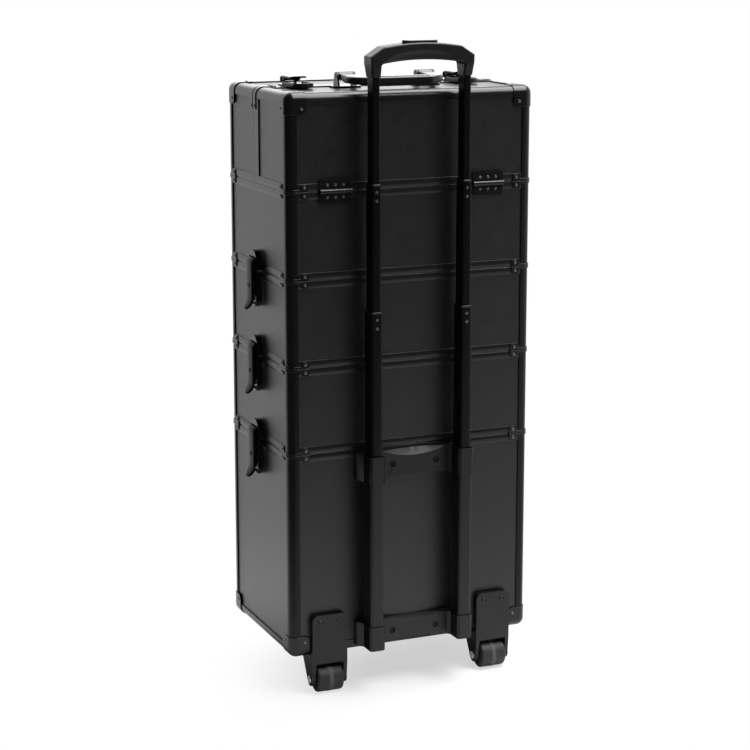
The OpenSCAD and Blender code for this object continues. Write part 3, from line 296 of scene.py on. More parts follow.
class Finish(Enum):
    """The finishes of the case."""

    LAMINATE = GrainedFinish(
        "grained_laminate", "laminate_panel", dark=0.002, light=0.008, rough=0.36, rough_spread=0.26,
        cell=1.6 * MM, cell_depth=0.08 * MM, fine=1.5 * MM, fine_depth=0.17 * MM,
    )
    ANODISED = GrainedFinish(
        "satin_anodised", "anodised_profile", dark=0.006, light=0.009, rough=0.26, rough_spread=0.06,
        specular=0.32,
    )
    # Painted shade: the corner posts are the same anodised profile, given a darker tone and less gloss to
    # stand for the shade they show where they turn towards the dim side of the room.
    SHADED_POST = GrainedFinish(
        "dark_anodised", "anodised_profile", dark=0.004, light=0.006, rough=0.27, rough_spread=0.06,
        specular=0.18,
    )
    # Also painted shade: the bridge screws take this darkest finish so that their heads read as shaded
    # recesses.
    TUBE_AND_HOLE_SHADE = GrainedFinish(
        "drawn_tube", "anodised_profile", dark=0.0015, light=0.003, rough=0.26, specular=0.16,
        stretch=(1.0, 1.0, 0.05),
    )
    LACQUER = GrainedFinish(
        "black_lacquer", "black_hardware", dark=0.003, light=0.006, rough=0.22, specular=0.32,
        fine=0.6 * MM, fine_depth=0.012 * MM,
    )
    LEVER = GrainedFinish(
        "dark_lacquer", "black_hardware", dark=0.002, light=0.004, rough=0.17, rough_spread=0.06,
        specular=0.05, fine=0.6 * MM, fine_depth=0.008 * MM,
    )
    RIVET = GrainedFinish(
        "black_rivet", "black_hardware", dark=0.10, light=0.17, rough=0.28, rough_spread=0.10,
        cell=2.0 * MM, fine_depth=0.01 * MM, metallic=0.8,
    )
    MOULDED = GrainedFinish(
        "textured_moulding", "moulded_black", dark=0.004, light=0.007, rough=0.38, rough_spread=0.10,
        specular=0.34, cell=1.2 * MM, cell_depth=0.02 * MM, fine=0.4 * MM, fine_depth=0.02 * MM,
    )
    GLOSS = GrainedFinish(
        "smooth_moulding", "gloss_black", dark=0.007, light=0.012, rough=0.24, fine=0.8 * MM,
    )
    RUBBER = GrainedFinish(
        "wheel_rubber", "wheel_rubber", dark=0.014, light=0.028, rough=0.55, rough_spread=0.16,
        specular=0.35, cell=2.0 * MM, cell_depth=0.03 * MM, fine_depth=0.03 * MM,
    )
    TREAD = GrainedFinish(
        "worn_tread", "wheel_rubber", dark=0.040, light=0.090, rough=0.60, rough_spread=0.16,
        specular=0.35, cell=2.0 * MM, cell_depth=0.03 * MM, fine_depth=0.04 * MM,
    )
    STEEL = GrainedFinish(
        "plated_steel", "axle_steel", dark=0.75, light=0.88, rough=0.34, rough_spread=0.12,
        cell=2.0 * MM, fine=0.3 * MM, fine_depth=0.01 * MM, metallic=0.5,
    )


@dataclass
class Surface:
    """Points of a surface and the faces between them."""

    points: Array
    faces: list[list[int]]


def grid_faces(rows: int, cols: int, wrap: bool, period: int = 1 << 30) -> list[list[int]]:
    """Quads over a grid of rows by cols points.

    Args:
        rows: number of sections.
        cols: number of points in a section.
        wrap: whether each section closes on itself.
        period: number of sections after which the first one comes again.

    Returns:
        The quads as lists of point numbers.
    """
    i, j = np.meshgrid(np.arange(rows - 1), np.arange(cols if wrap else cols - 1), indexing="ij")
    k, n = (j + 1) % cols, (i + 1) % period
    quads = np.stack([i * cols + j, i * cols + k, n * cols + k, n * cols + j], -1)
    return quads.reshape(-1, 4).tolist()


def loft(sections: Array, closed: bool = False) -> Surface:
    """A skin over closed sections, with a flat face on each end unless they form a ring.

    Args:
        sections: array of sections by points by 3.
        closed: whether the row of sections is a ring.

    Returns:
        The surface.
    """
    rows, cols = sections.shape[:2]
    if closed:
        return Surface(sections.reshape(-1, 3), grid_faces(rows + 1, cols, True, rows))
    faces = grid_faces(rows, cols, True)
    faces.append(list(range(cols))[::-1])
    faces.append(list(range((rows - 1) * cols, rows * cols)))
    return Surface(sections.reshape(-1, 3), faces)


@dataclass(frozen=True)
class Place:
    """A local frame: u and v across a face, w out of it."""

    origin: Array
    u: Array
    v: Array
    w: Array

    def put(self, points: Array) -> Array:
        """Local points, last axis (u, v, w), in the case's frame."""
        return self.origin + points @ np.stack([self.u, self.v, self.w])


def place_at(origin: tuple, u: tuple, v: tuple) -> Place:
    """A place from its origin and two directions, with w = u x v."""
    across, along = np.array(u, float), np.array(v, float)
    return Place(np.array(origin, float), across, along, np.cross(across, along))


def facing(origin: Array | tuple, out: Array | tuple) -> Place:
    """A place at origin whose w points out, with u and v square to it.

    Args:
        origin: its origin.
        out: unit direction of w.

    Returns:
        The place.
    """
    w = np.array(out, float)
    u = np.cross((0.0, 0.0, 1.0) if abs(w[2]) < UPRIGHT else (1.0, 0.0, 0.0), w)
    u /= np.linalg.norm(u)
    return Place(np.array(origin, float), u, np.cross(w, u), w)


def arc(start: float, stop: float, steps: int) -> Array:
    """Cosines and sines of angles from start to stop, in degrees."""
    angle = np.radians(np.linspace(start, stop, steps))
    return np.stack([np.cos(angle), np.sin(angle)], -1)


def round_rect(width: float, height: float, radius: float, steps: int = 6) -> Array:
    """Outline of a rectangle with round corners: corner centres plus quarter circles.

    Args:
        width: its width.
        height: its height.
        radius: radius of its corners.
        steps: points on a corner.

    Returns:
        Counter-clockwise points, n by 2.
    """
    half = np.array([width / 2 - radius, height / 2 - radius])
    signs = np.array([[1, 1], [-1, 1], [-1, -1], [1, -1]])
    quarters = [s * half + radius * arc(90 * q, 90 * q + 90, steps) for q, s in enumerate(signs)]
    return np.concatenate(quarters)


def outline_normals(outline: Array) -> Array:
    """Outward normals of a counter-clockwise outline, so long that a move keeps every side parallel.

    Args:
        outline: points, n by 2.

    Returns:
        A normal for each point.
    """
    side = np.roll(outline, -1, 0) - outline
    side = side / np.maximum(np.linalg.norm(side, axis=1), TINY)[:, None]
    out = np.stack([side[:, 1], -side[:, 0]], -1)
    total = out + np.roll(out, 1, 0)
    return 2.0 * total / np.maximum((total ** 2).sum(1), TINY)[:, None]


def plate(outline: Array, low: float, high: float, bevel: float, place: Place) -> Surface:
    """A plate with rounded edges: its outline, drawn in by a quarter circle towards the top.

    Args:
        outline: counter-clockwise points, n by 2.
        low: height of its underside.
        high: height of its top.
        bevel: radius of the edge.
        place: the frame that it stands in.

    Returns:
        The closed surface.
    """
    turn = arc(0, 90, 4)
    inset = np.concatenate([[0.0], bevel * (1 - turn[:, 0])])
    height = np.concatenate([[low], high - bevel * (1 - turn[:, 1])])
    flat = outline[None] - inset[:, None, None] * outline_normals(outline)[None]
    lift = np.broadcast_to(height[:, None, None], (*flat.shape[:2], 1))
    return loft(place.put(np.concatenate([flat, lift], -1)))


def rounded_section(half_a: Array, half_b: Array, radius: float, corner: int = 5, side: int = 8) -> Array:
    """Rectangles with round corners, one for each pair of half sizes.

    Each corner is a quarter circle about a centre drawn in by the radius, and points spread evenly along
    the side lead to the next one.

    Args:
        half_a: half widths.
        half_b: half heights.
        radius: radius of the corners.
        corner: points on a quarter circle.
        side: points on a side.

    Returns:
        Points as sections by points by 2.
    """
    half = np.stack([half_a, half_b], -1) - radius
    signs = np.array([[1, 1], [-1, 1], [-1, -1], [1, -1]])
    turns = [s * half[:, None] + radius * arc(90 * q, 90 * q + 90, corner) for q, s in enumerate(signs)]
    share = np.linspace(0, 1, side + 2)[1:-1, None]
    out = []
    for here, after in zip(turns, turns[1:] + turns[:1]):
        out += [here, here[:, -1:] + share * (after[:, :1] - here[:, -1:])]
    return np.concatenate(out, 1)


def lathe(profile: Array, place: Place, steps: int = 24) -> Surface:
    """A profile of (radius, height) turned about a place's w axis.

    Args:
        profile: pairs of radius and height.
        place: frame whose w is the axis.
        steps: points round the axis.

    Returns:
        The closed surface.
    """
    ring = arc(0, 360 * (steps - 1) / steps, steps)
    flat = profile[:, None, :1] * ring[None]
    lift = np.broadcast_to(profile[:, None, 1:], (*flat.shape[:2], 1))
    return loft(place.put(np.concatenate([flat, lift], -1)))


class Workshop:
    """The loaded frame, the finishes made so far and the ways to add a piece."""

    WELD = 0.001 * MM
    FLAT_ANGLE = math.radians(0.4)
    SHARP_ANGLE = math.radians(32)
    EDGE_SEGMENTS = 2

    def __init__(self) -> None:
        """Load the frame and note its box."""
        self.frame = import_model()
        self.cad_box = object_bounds()
        self.materials: dict[Finish, bpy.types.Material] = {}
        bodies = self.frame["record"]["behaviour"]["bodies"]
        self.home = {node: body for body, nodes in bodies.items() for node in nodes}

    def pivot(self, joint: str) -> tuple:
        """The place of a joint in the case's frame."""
        joints = self.frame["record"]["behaviour"]["joints"]
        return next(tuple(j["pos_m"]) for j in joints if j["name"] == joint)

    def material(self, finish: Finish) -> bpy.types.Material:
        """The finish's material, made at its first use.

        Args:
            finish: the finish wanted.

        Returns:
            Its material.
        """
        if finish not in self.materials:
            self.materials[finish] = finish.value.build()
        return self.materials[finish]

    def dress(self, node: str, finish: Finish) -> None:
        """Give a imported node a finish.

        Args:
            node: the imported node.
            finish: its finish.
        """
        mesh = self.frame["nodes"][node].data
        mesh.materials.clear()
        mesh.materials.append(self.material(finish))
        LOG.info("node %s: %s", node, finish.value.name)

    def add(
        self, name: str, surfaces: list[Surface], finish: Finish, node: str, stands_for: bool = False
    ) -> bpy.types.Object:
        """Make a piece from surfaces and let it ride with a node's body.

        Args:
            name: the piece's name.
            surfaces: its closed surfaces.
            finish: its finish.
            node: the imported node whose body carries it.
            stands_for: whether the piece replaces that node.

        Returns:
            The new object.
        """
        starts = np.cumsum([0] + [len(s.points) for s in surfaces])
        points = np.concatenate([s.points for s in surfaces])
        faces = [[k + int(first) for k in face] for s, first in zip(surfaces, starts) for face in s.faces]
        mesh = bpy.data.meshes.new(name)
        mesh.from_pydata(points.tolist(), [], faces)
        return self._settle(name, mesh, finish, node, stands_for)

    def soften(self, node: str, finish: Finish, width: float) -> bpy.types.Object:
        """Replace a node by a copy whose edges are rounded by width."""
        mesh = self.frame["nodes"][node].data.copy()
        return self._round(self._settle(f"{node}_soft", mesh, finish, node, True, True), width)

    def split(
        self, node: str, finishes: tuple[Finish, Finish], width: float, aside: Callable[[Vector], bool]
    ) -> None:
        """Replace a node by two copies with rounded edges, the second one made of the faces set aside.

        Args:
            node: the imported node.
            finishes: finish of the main copy and of the faces set aside.
            width: radius of the edges.
            aside: tells from a face's middle whether it is set aside.
        """
        for finish, side in zip(finishes, (False, True)):
            mesh = self.frame["nodes"][node].data.copy()
            work = bmesh.new()
            work.from_mesh(mesh)
            away = [f for f in work.faces if aside(f.calc_center_median()) != side]
            bmesh.ops.delete(work, geom=away, context="FACES")
            work.to_mesh(mesh)
            work.free()
            name = f"{node}_aside" if side else f"{node}_soft"
            self._round(self._settle(name, mesh, finish, node, not side, True), width)

    def _round(self, piece: bpy.types.Object, width: float) -> bpy.types.Object:
        """Round a piece's edges.

        Args:
            piece: the object.
            width: radius of its edges.

        Returns:
            The same object.
        """
        bevel = piece.modifiers.new("edges", "BEVEL")
        bevel.width = width
        bevel.segments = self.EDGE_SEGMENTS
        bevel.limit_method = "ANGLE"
        bevel.angle_limit = self.SHARP_ANGLE
        bevel.harden_normals = True
        return piece

    def _settle(
        self, name: str, mesh: bpy.types.Mesh, finish: Finish, node: str, stands_for: bool, flat: bool = False
    ) -> bpy.types.Object:
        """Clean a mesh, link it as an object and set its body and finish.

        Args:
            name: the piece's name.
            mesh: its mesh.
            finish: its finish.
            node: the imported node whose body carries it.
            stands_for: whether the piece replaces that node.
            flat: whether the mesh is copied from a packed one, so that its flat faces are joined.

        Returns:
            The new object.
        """
        work = bmesh.new()
        work.from_mesh(mesh)
        bmesh.ops.remove_doubles(work, verts=work.verts[:], dist=self.WELD)
        bmesh.ops.dissolve_degenerate(work, edges=work.edges[:], dist=self.WELD)
        if flat:
            verts, edges = work.verts[:], work.edges[:]
            bmesh.ops.dissolve_limit(work, angle_limit=self.FLAT_ANGLE, verts=verts, edges=edges)
        else:
            bmesh.ops.recalc_face_normals(work, faces=work.faces[:])
        work.to_mesh(mesh)
        work.free()
        mesh.shade_smooth()
        mesh.set_sharp_from_angle(angle=self.SHARP_ANGLE)
        mesh.materials.clear()
        mesh.materials.append(self.material(finish))
        piece = bpy.data.objects.new(name, mesh)
        bpy.context.scene.collection.objects.link(piece)
        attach(piece, self.home[node])
        if stands_for:
            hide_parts(node)
        LOG.info("piece %s on %s: %s", name, self.home[node], finish.value.name)
        return piece


@dataclass(frozen=True)
class Case:
    """The places of the case that its fittings refer to, read from the frame."""

    left: float
    right: float
    front: float
    back: float
    bottom: float
    seams: tuple[float, float, float, float]
    top: float
    split: float

    @classmethod
    def read(cls) -> Case:
        """Take the faces from the base and the seams from the sections above it.

        Returns:
            The places.
        """
        low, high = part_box("base_frame")
        lows = [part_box(f"{n}_frame")[0].z for n in ("tier_a", "tier_b", "top_tray", "front_lid")]
        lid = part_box("front_lid_frame")[1]
        return cls(low.x, high.x, low.y, high.y, low.z, tuple(lows), lid.z, lid.y)

    @property
    def lid_seam(self) -> float:
        """Height of the seam under the lid."""
        return self.seams[-1]

    def corners(self) -> list[tuple[float, float]]:
        """The four upright corners."""
        return [(x, y) for x in (self.left, self.right) for y in (self.front, self.back)]

    def signs(self, x: float, y: float) -> tuple[float, float]:
        """The outward directions of the two faces that meet at a corner.

        Args:
            x: the corner's x.
            y: the corner's y.

        Returns:
            -1 or 1 for x and for y.
        """
        return (
            math.copysign(1.0, x - (self.left + self.right) / 2),
            math.copysign(1.0, y - (self.front + self.back) / 2),
        )


SECTIONS = ("base", "tier_a", "tier_b", "top_tray", "front_lid", "back_lid")
TIERS = ("tier_a", "tier_b", "top_tray")
SIDES = ("left", "right")


@dataclass
class Boxes:
    """Panels, edge profiles and corner fittings of the six sections."""

    case: Case
    edge: float = 0.5 * MM
    post: float = 14.025 * MM

    def at_post(self, spot: Vector) -> bool:
        """Whether a point lies in one of the upright corner posts.

        Args:
            spot: the point.

        Returns:
            True inside a post.
        """
        in_x = min(spot.x - self.case.left, self.case.right - spot.x)
        in_y = min(spot.y - self.case.front, self.case.back - spot.y)
        return max(in_x, in_y) < self.post

    def build(self, shop: Workshop) -> None:
        """Dress the panels and round the edges of profiles and fittings, with painted shade on the corner
        posts.

        Args:
            shop: the workshop that makes the pieces.
        """
        for section in SECTIONS:
            shop.dress(f"{section}_panels", Finish.LAMINATE)
            # The posts set aside get the darker copy of the profile's finish: painted shade.
            shop.split(f"{section}_frame", (Finish.ANODISED, Finish.SHADED_POST), self.edge, self.at_post)
            shop.soften(f"{section}_corners", Finish.LACQUER, self.edge)


@dataclass
class Rivets:
    """Domed rivets on brackets, corner caps, straps and hinge leaves."""

    radius: float = 2.1 * MM
    rise: float = 1.1 * MM
    flange: float = 0.35 * MM
    plate: float = 1.2 * MM
    bracket_in: float = 22.5 * MM
    rim_middle: float = 5.2 * MM
    cap_in: float = 19.5 * MM
    strap_in: float = 23.5 * MM
    strap_side: float = 5.4 * MM
    hinge_in: float = 64.0 * MM
    hinge_step: float = 11.0 * MM
    leaf: float = 1.5 * MM
    leaf_middle: float = 7.5 * MM
    facets: int = 12

    def dome(self, origin: tuple, out: tuple) -> Surface:
        """One rivet: a flange, then a quarter ellipse up to its pole.

        Args:
            origin: middle of its foot.
            out: direction that it points in.

        Returns:
            The rivet.
        """
        turn = arc(0, 90, 4)
        height = self.flange + (self.rise - self.flange) * turn[:, 1]
        dome = np.stack([self.radius * turn[:, 0], height], -1)
        profile = np.concatenate([[[self.radius, -self.flange]], dome])
        profile[-1, 0] = POLE
        return lathe(profile, facing(origin, out), self.facets)

    def ring(self, case: Case, z: float, inset: float, corners: list[tuple[float, float]]) -> list[Surface]:
        """Two rivets at each corner, one on each face, at height z.

        Args:
            case: the places of the case.
            z: height of the rivets.
            inset: their distance from the corner.
            corners: the corners that get them.

        Returns:
            The rivets.
        """
        domes = []
        for x, y in corners:
            sx, sy = case.signs(x, y)
            domes.append(self.dome((x + sx * self.plate, y - sy * inset, z), (sx, 0, 0)))
            domes.append(self.dome((x - sx * inset, y + sy * self.plate, z), (0, sy, 0)))
        return domes

    def cap_flat(self, case: Case, z: float, up: float, corners: list[tuple[float, float]]) -> list[Surface]:
        """One rivet on the level face of each corner cap.

        Args:
            case: the places of the case.
            z: height of the level face.
            up: 1 on the lid, -1 under the base.
            corners: the corners that get them.

        Returns:
            The rivets.
        """
        signs = [(x, y, *case.signs(x, y)) for x, y in corners]
        return [
            self.dome((x - sx * self.cap_in, y - sy * self.cap_in, z + up * self.plate), (0, 0, up))
            for x, y, sx, sy in signs
        ]

    def straps(self, case: Case, half: float) -> list[Surface]:
        """Rivets at both ends of the two straps beside the split, on the half towards +y or -y.

        Args:
            case: the places of the case.
            half: 1 for the half towards +y, -1 for the other.

        Returns:
            The rivets.
        """
        y = case.split + half * self.strap_side
        domes = []
        for x, sx in ((case.left, -1.0), (case.right, 1.0)):
            domes.append(self.dome((x + sx * self.plate, y, case.top - self.strap_in), (sx, 0, 0)))
            domes.append(self.dome((x - sx * self.strap_in, y, case.top + self.plate), (0, 0, 1)))
        return domes

    def hinge(self, case: Case, y: float, up: float) -> list[Surface]:
        """Three rivets on each of two hinge leaves above (up 1) or below the lid seam.

        Args:
            case: the places of the case.
            y: the face that carries the hinges.
            up: 1 above the seam, -1 below it.

        Returns:
            The rivets.
        """
        sy = case.signs(0.0, y)[1]
        z = case.lid_seam + up * self.leaf_middle
        middles = (case.left + self.hinge_in, case.right - self.hinge_in)
        spots = [m + k * self.hinge_step for m in middles for k in (-1, 0, 1)]
        return [self.dome((x, y + sy * self.leaf, z), (0, sy, 0)) for x in spots]

    def build(self, shop: Workshop, case: Case) -> None:
        """Rivet brackets and caps section by section, then the hinges.

        Args:
            shop: the workshop that makes the pieces.
            case: the places of the case.
        """
        everywhere = case.corners()
        for section, seam in zip(("base", *TIERS), case.seams):
            domes = self.ring(case, seam - self.rim_middle, self.bracket_in, everywhere)
            if section == "base":
                domes += self.ring(case, case.bottom + self.cap_in, self.cap_in, everywhere)
                domes += self.cap_flat(case, case.bottom, -1.0, everywhere)
            else:
                low = case.seams[TIERS.index(section)]
                domes += self.ring(case, low + self.rim_middle, self.bracket_in, everywhere)
            shop.add(f"{section}_rivets", domes, Finish.RIVET, f"{section}_corners")
        for section, y, half in (("front_lid", case.front, -1.0), ("back_lid", case.back, 1.0)):
            ends = [c for c in everywhere if c[1] == y]
            domes = self.ring(case, case.lid_seam + self.rim_middle, self.bracket_in, ends)
            domes += self.ring(case, case.top - self.cap_in, self.cap_in, ends)
            domes += self.cap_flat(case, case.top, 1.0, ends) + self.straps(case, half)
            shop.add(f"{section}_rivets", domes, Finish.RIVET, f"{section}_corners")
            leaves = f"{section}_hinge_leaves"
            shop.add(f"{section}_hinge_rivets", self.hinge(case, y, 1.0), Finish.RIVET, leaves)
        domes = self.hinge(case, case.front, -1.0) + self.hinge(case, case.back, -1.0)
        shop.add("top_tray_hinge_rivets", domes, Finish.RIVET, "top_tray_hinge_leaves")


@dataclass(frozen=True)
class LeverForm:
    """How far a lever and its deep sides run below its pin, how its tip ends and whether it locks."""

    straight: float
    flange_len: float
    lip: float
    tip_rise: float
    tip_round: float
    keyed: bool


@dataclass
class Latches:
    """Draw latches: base plates on the sections and swinging levers over them."""

    edge: float = 0.7 * MM
    width: float = 23.0 * MM
    wall: float = 1.8 * MM
    fold: float = 2.4 * MM
    pivot_r: float = 4.8 * MM
    curl: float = 118.0
    ridge: float = 0.7 * MM
    ridges: int = 3
    end_form: LeverForm = LeverForm(
        straight=49.0 * MM, flange_len=42.0 * MM, lip=2.0 * MM,
        tip_rise=7.0 * MM, tip_round=10.5 * MM, keyed=True,
    )
    lid_form: LeverForm = LeverForm(
        straight=23.0 * MM, flange_len=8.0 * MM, lip=2.0 * MM,
        tip_rise=1.0 * MM, tip_round=5.0 * MM, keyed=False,
    )
    tip_len: float = 13.0 * MM
    tip_power: float = 1.7
    tip_blunt: float = 0.98
    flange: float = 6.3 * MM
    flange_slope: float = 5.0 * MM
    flange_gap: float = 0.3 * MM
    eye_r: float = 3.8 * MM
    key_down: float = 32.0 * MM
    key_r: float = 3.4 * MM
    key_rim: tuple[tuple[float, float], ...] = (
        (0.0, 0.4 * MM), (0.4 * MM, 0.7 * MM), (1.0 * MM, 0.7 * MM), (1.2 * MM, 0.3 * MM),
    )
    pin_up: float = 12.0 * MM
    pin_rise: float = 8.0 * MM
    base_half: float = 14.0 * MM
    base_len: float = 48.0 * MM
    base_round: float = 12.0 * MM
    rail_t: float = 1.8 * MM
    rail_foot: float = 1.8 * MM
    rail_h: float = 6.0 * MM
    rail_end: float = 1.0 * MM
    rail_edge: float = 0.4 * MM

    def rail(self, place: Place) -> Surface:
        """A wall round three sides of a lid latch's strike.

        Its outline is the strike's, then the same drawn in by the wall and turned back.

        Args:
            place: frame at the lever's pin.

        Returns:
            The wall.
        """
        end = -self.pin_up - self.base_len
        sides = []
        for inset in (0.0, self.rail_t):
            half, radius = self.base_half - inset, self.base_round - inset
            centre = np.array([half - radius, end + inset + radius])
            left = centre * MIRROR + radius * arc(180, 270, 7)
            right = centre + radius * arc(270, 360, 7)
            top = np.array([[half, -self.pin_up - self.rail_end]])
            sides.append(np.concatenate([top * MIRROR, left, right, top]))
        outline = np.concatenate([sides[0], sides[1][::-1]])
        low, high = self.rail_foot - self.pin_rise, self.rail_h - self.pin_rise
        return plate(outline, low, high, self.rail_edge, place)

    def path(self, form: LeverForm) -> Array:
        """The lever's outer face from the side, as (v, w) about the pin.

        A ridged arc curls over the pin, a straight runs down, and the tip leaves it by a power curve.

        Args:
            form: the lever's lengths and its tip.

        Returns:
            Points from over the pin to the tip.
        """
        turn = np.linspace(math.radians(self.curl), 0, 49)
        bump = 0.5 - 0.5 * np.cos(turn / turn[0] * TAU * self.ridges)
        radius = self.pivot_r - self.ridge * bump
        top = np.stack([radius * np.sin(turn), radius * np.cos(turn)], -1)
        down = np.linspace(0, 1, 16)[1:]
        middle = np.stack([-form.straight * down, np.full_like(down, self.pivot_r)], -1)
        share = np.linspace(0, 1, 14)[1:]
        rise = form.tip_rise * share ** self.tip_power
        tip = np.stack([-form.straight - self.tip_len * share, self.pivot_r + rise], -1)
        return np.concatenate([top, middle, tip])

    def lever(self, place: Place, form: LeverForm) -> list[Surface]:
        """A folded lever: a U section carried along the path, with two eyes and perhaps a key barrel.

        Args:
            place: frame at the pin, with v up the lever and w outwards.
            form: its lengths and its tip.

        Returns:
            The lever's surfaces.
        """
        path = self.path(form)
        step = np.gradient(path, axis=0)
        step /= np.linalg.norm(step, axis=1)[:, None]
        out = np.stack([step[:, 1], -step[:, 0]], -1)
        down = -path[:, 0]
        past = np.clip((down - form.straight - self.tip_len + form.tip_round) / form.tip_round, 0, 1)
        half = self.width / 2 - form.tip_round * (1 - np.sqrt(1 - self.tip_blunt * past ** 2))
        fade = np.clip((down - form.flange_len) / self.flange_slope, 0, 1)
        deep = self.flange + (form.lip - self.flange) * fade
        deep = np.where(down < 0, self.pivot_r - self.flange_gap, deep)
        right = [
            np.stack([half - self.fold * (1 - c), np.full_like(half, -self.fold * (1 - s))], -1)
            for c, s in arc(0, 90, 5)
        ]
        left = [r * MIRROR for r in right[::-1]]
        inner = half - self.wall
        flat = np.full_like(half, -self.wall)
        foot = [np.stack([-half, -deep], -1), np.stack([-inner, -deep], -1), np.stack([-inner, flat], -1)]
        foot += [np.stack([inner, flat], -1), np.stack([inner, -deep], -1), np.stack([half, -deep], -1)]
        section = np.stack(right + left + foot, 1)
        local = np.zeros((*section.shape[:2], 3))
        local[..., 0] = section[..., 0]
        local[..., 1:] = path[:, None] + section[..., 1:] * out[:, None]
        thick = self.wall / 2
        disc = np.array([[POLE, -thick], [self.eye_r, -thick], [self.eye_r, thick], [POLE, thick]])
        middles = [place.put(np.array([s * (self.width - self.wall) / 2, 0.0, 0.0])) for s in (-1.0, 1.0)]
        eyes = [lathe(disc, facing(middle, place.u)) for middle in middles]
        if not form.keyed:
            return [loft(place.put(local)), *eyes]
        rim = np.array([self.key_r, self.pivot_r]) + np.array(self.key_rim) * MIRROR
        dish = np.concatenate([[[self.key_r, 0.0]], rim, [[POLE, rim[-1, 1]]]])
        barrel = lathe(dish, facing(place.put(np.array([0.0, -self.key_down, 0.0])), place.w))
        return [loft(place.put(local)), *eyes, barrel]

    def build(self, shop: Workshop) -> None:
        """Round the base plates and make the eight levers.

        Args:
            shop: the workshop that makes the pieces.
        """
        plates = (
            "base_latch_strikes", "tier_a_latch_fittings", "tier_b_latch_fittings",
            "top_tray_latch_caps", "lid_latch_caps", "lid_latch_strikes",
        )
        for node in plates:
            shop.soften(node, Finish.LACQUER, self.edge)
        for section in TIERS:
            for side, sign in zip(SIDES, (-1.0, 1.0)):
                place = place_at(shop.pivot(f"{section}_{side}_latch"), (0, sign, 0), (0, 0, 1))
                node = f"{section}_{side}_lever"
                shop.add(f"{node}_shell", self.lever(place, self.end_form), Finish.LEVER, node, True)
        rails = []
        for side in SIDES:
            place = place_at(shop.pivot(f"lid_{side}_latch"), (-1, 0, 0), (0, -1, 0))
            rails.append(self.rail(place))
            node = f"lid_{side}_lever"
            shop.add(f"{node}_shell", self.lever(place, self.lid_form), Finish.LEVER, node, True)
        shop.add("lid_latch_rails", rails, Finish.LACQUER, "lid_latch_strikes")


@dataclass
class Hinges:
    """Butt hinges of the two lid halves."""

    edge: float = 0.3 * MM

    def build(self, shop: Workshop) -> None:
        """Round the leaves."""
        for section in ("top_tray", "front_lid", "back_lid"):
            shop.soften(f"{section}_hinge_leaves", Finish.LACQUER, self.edge)


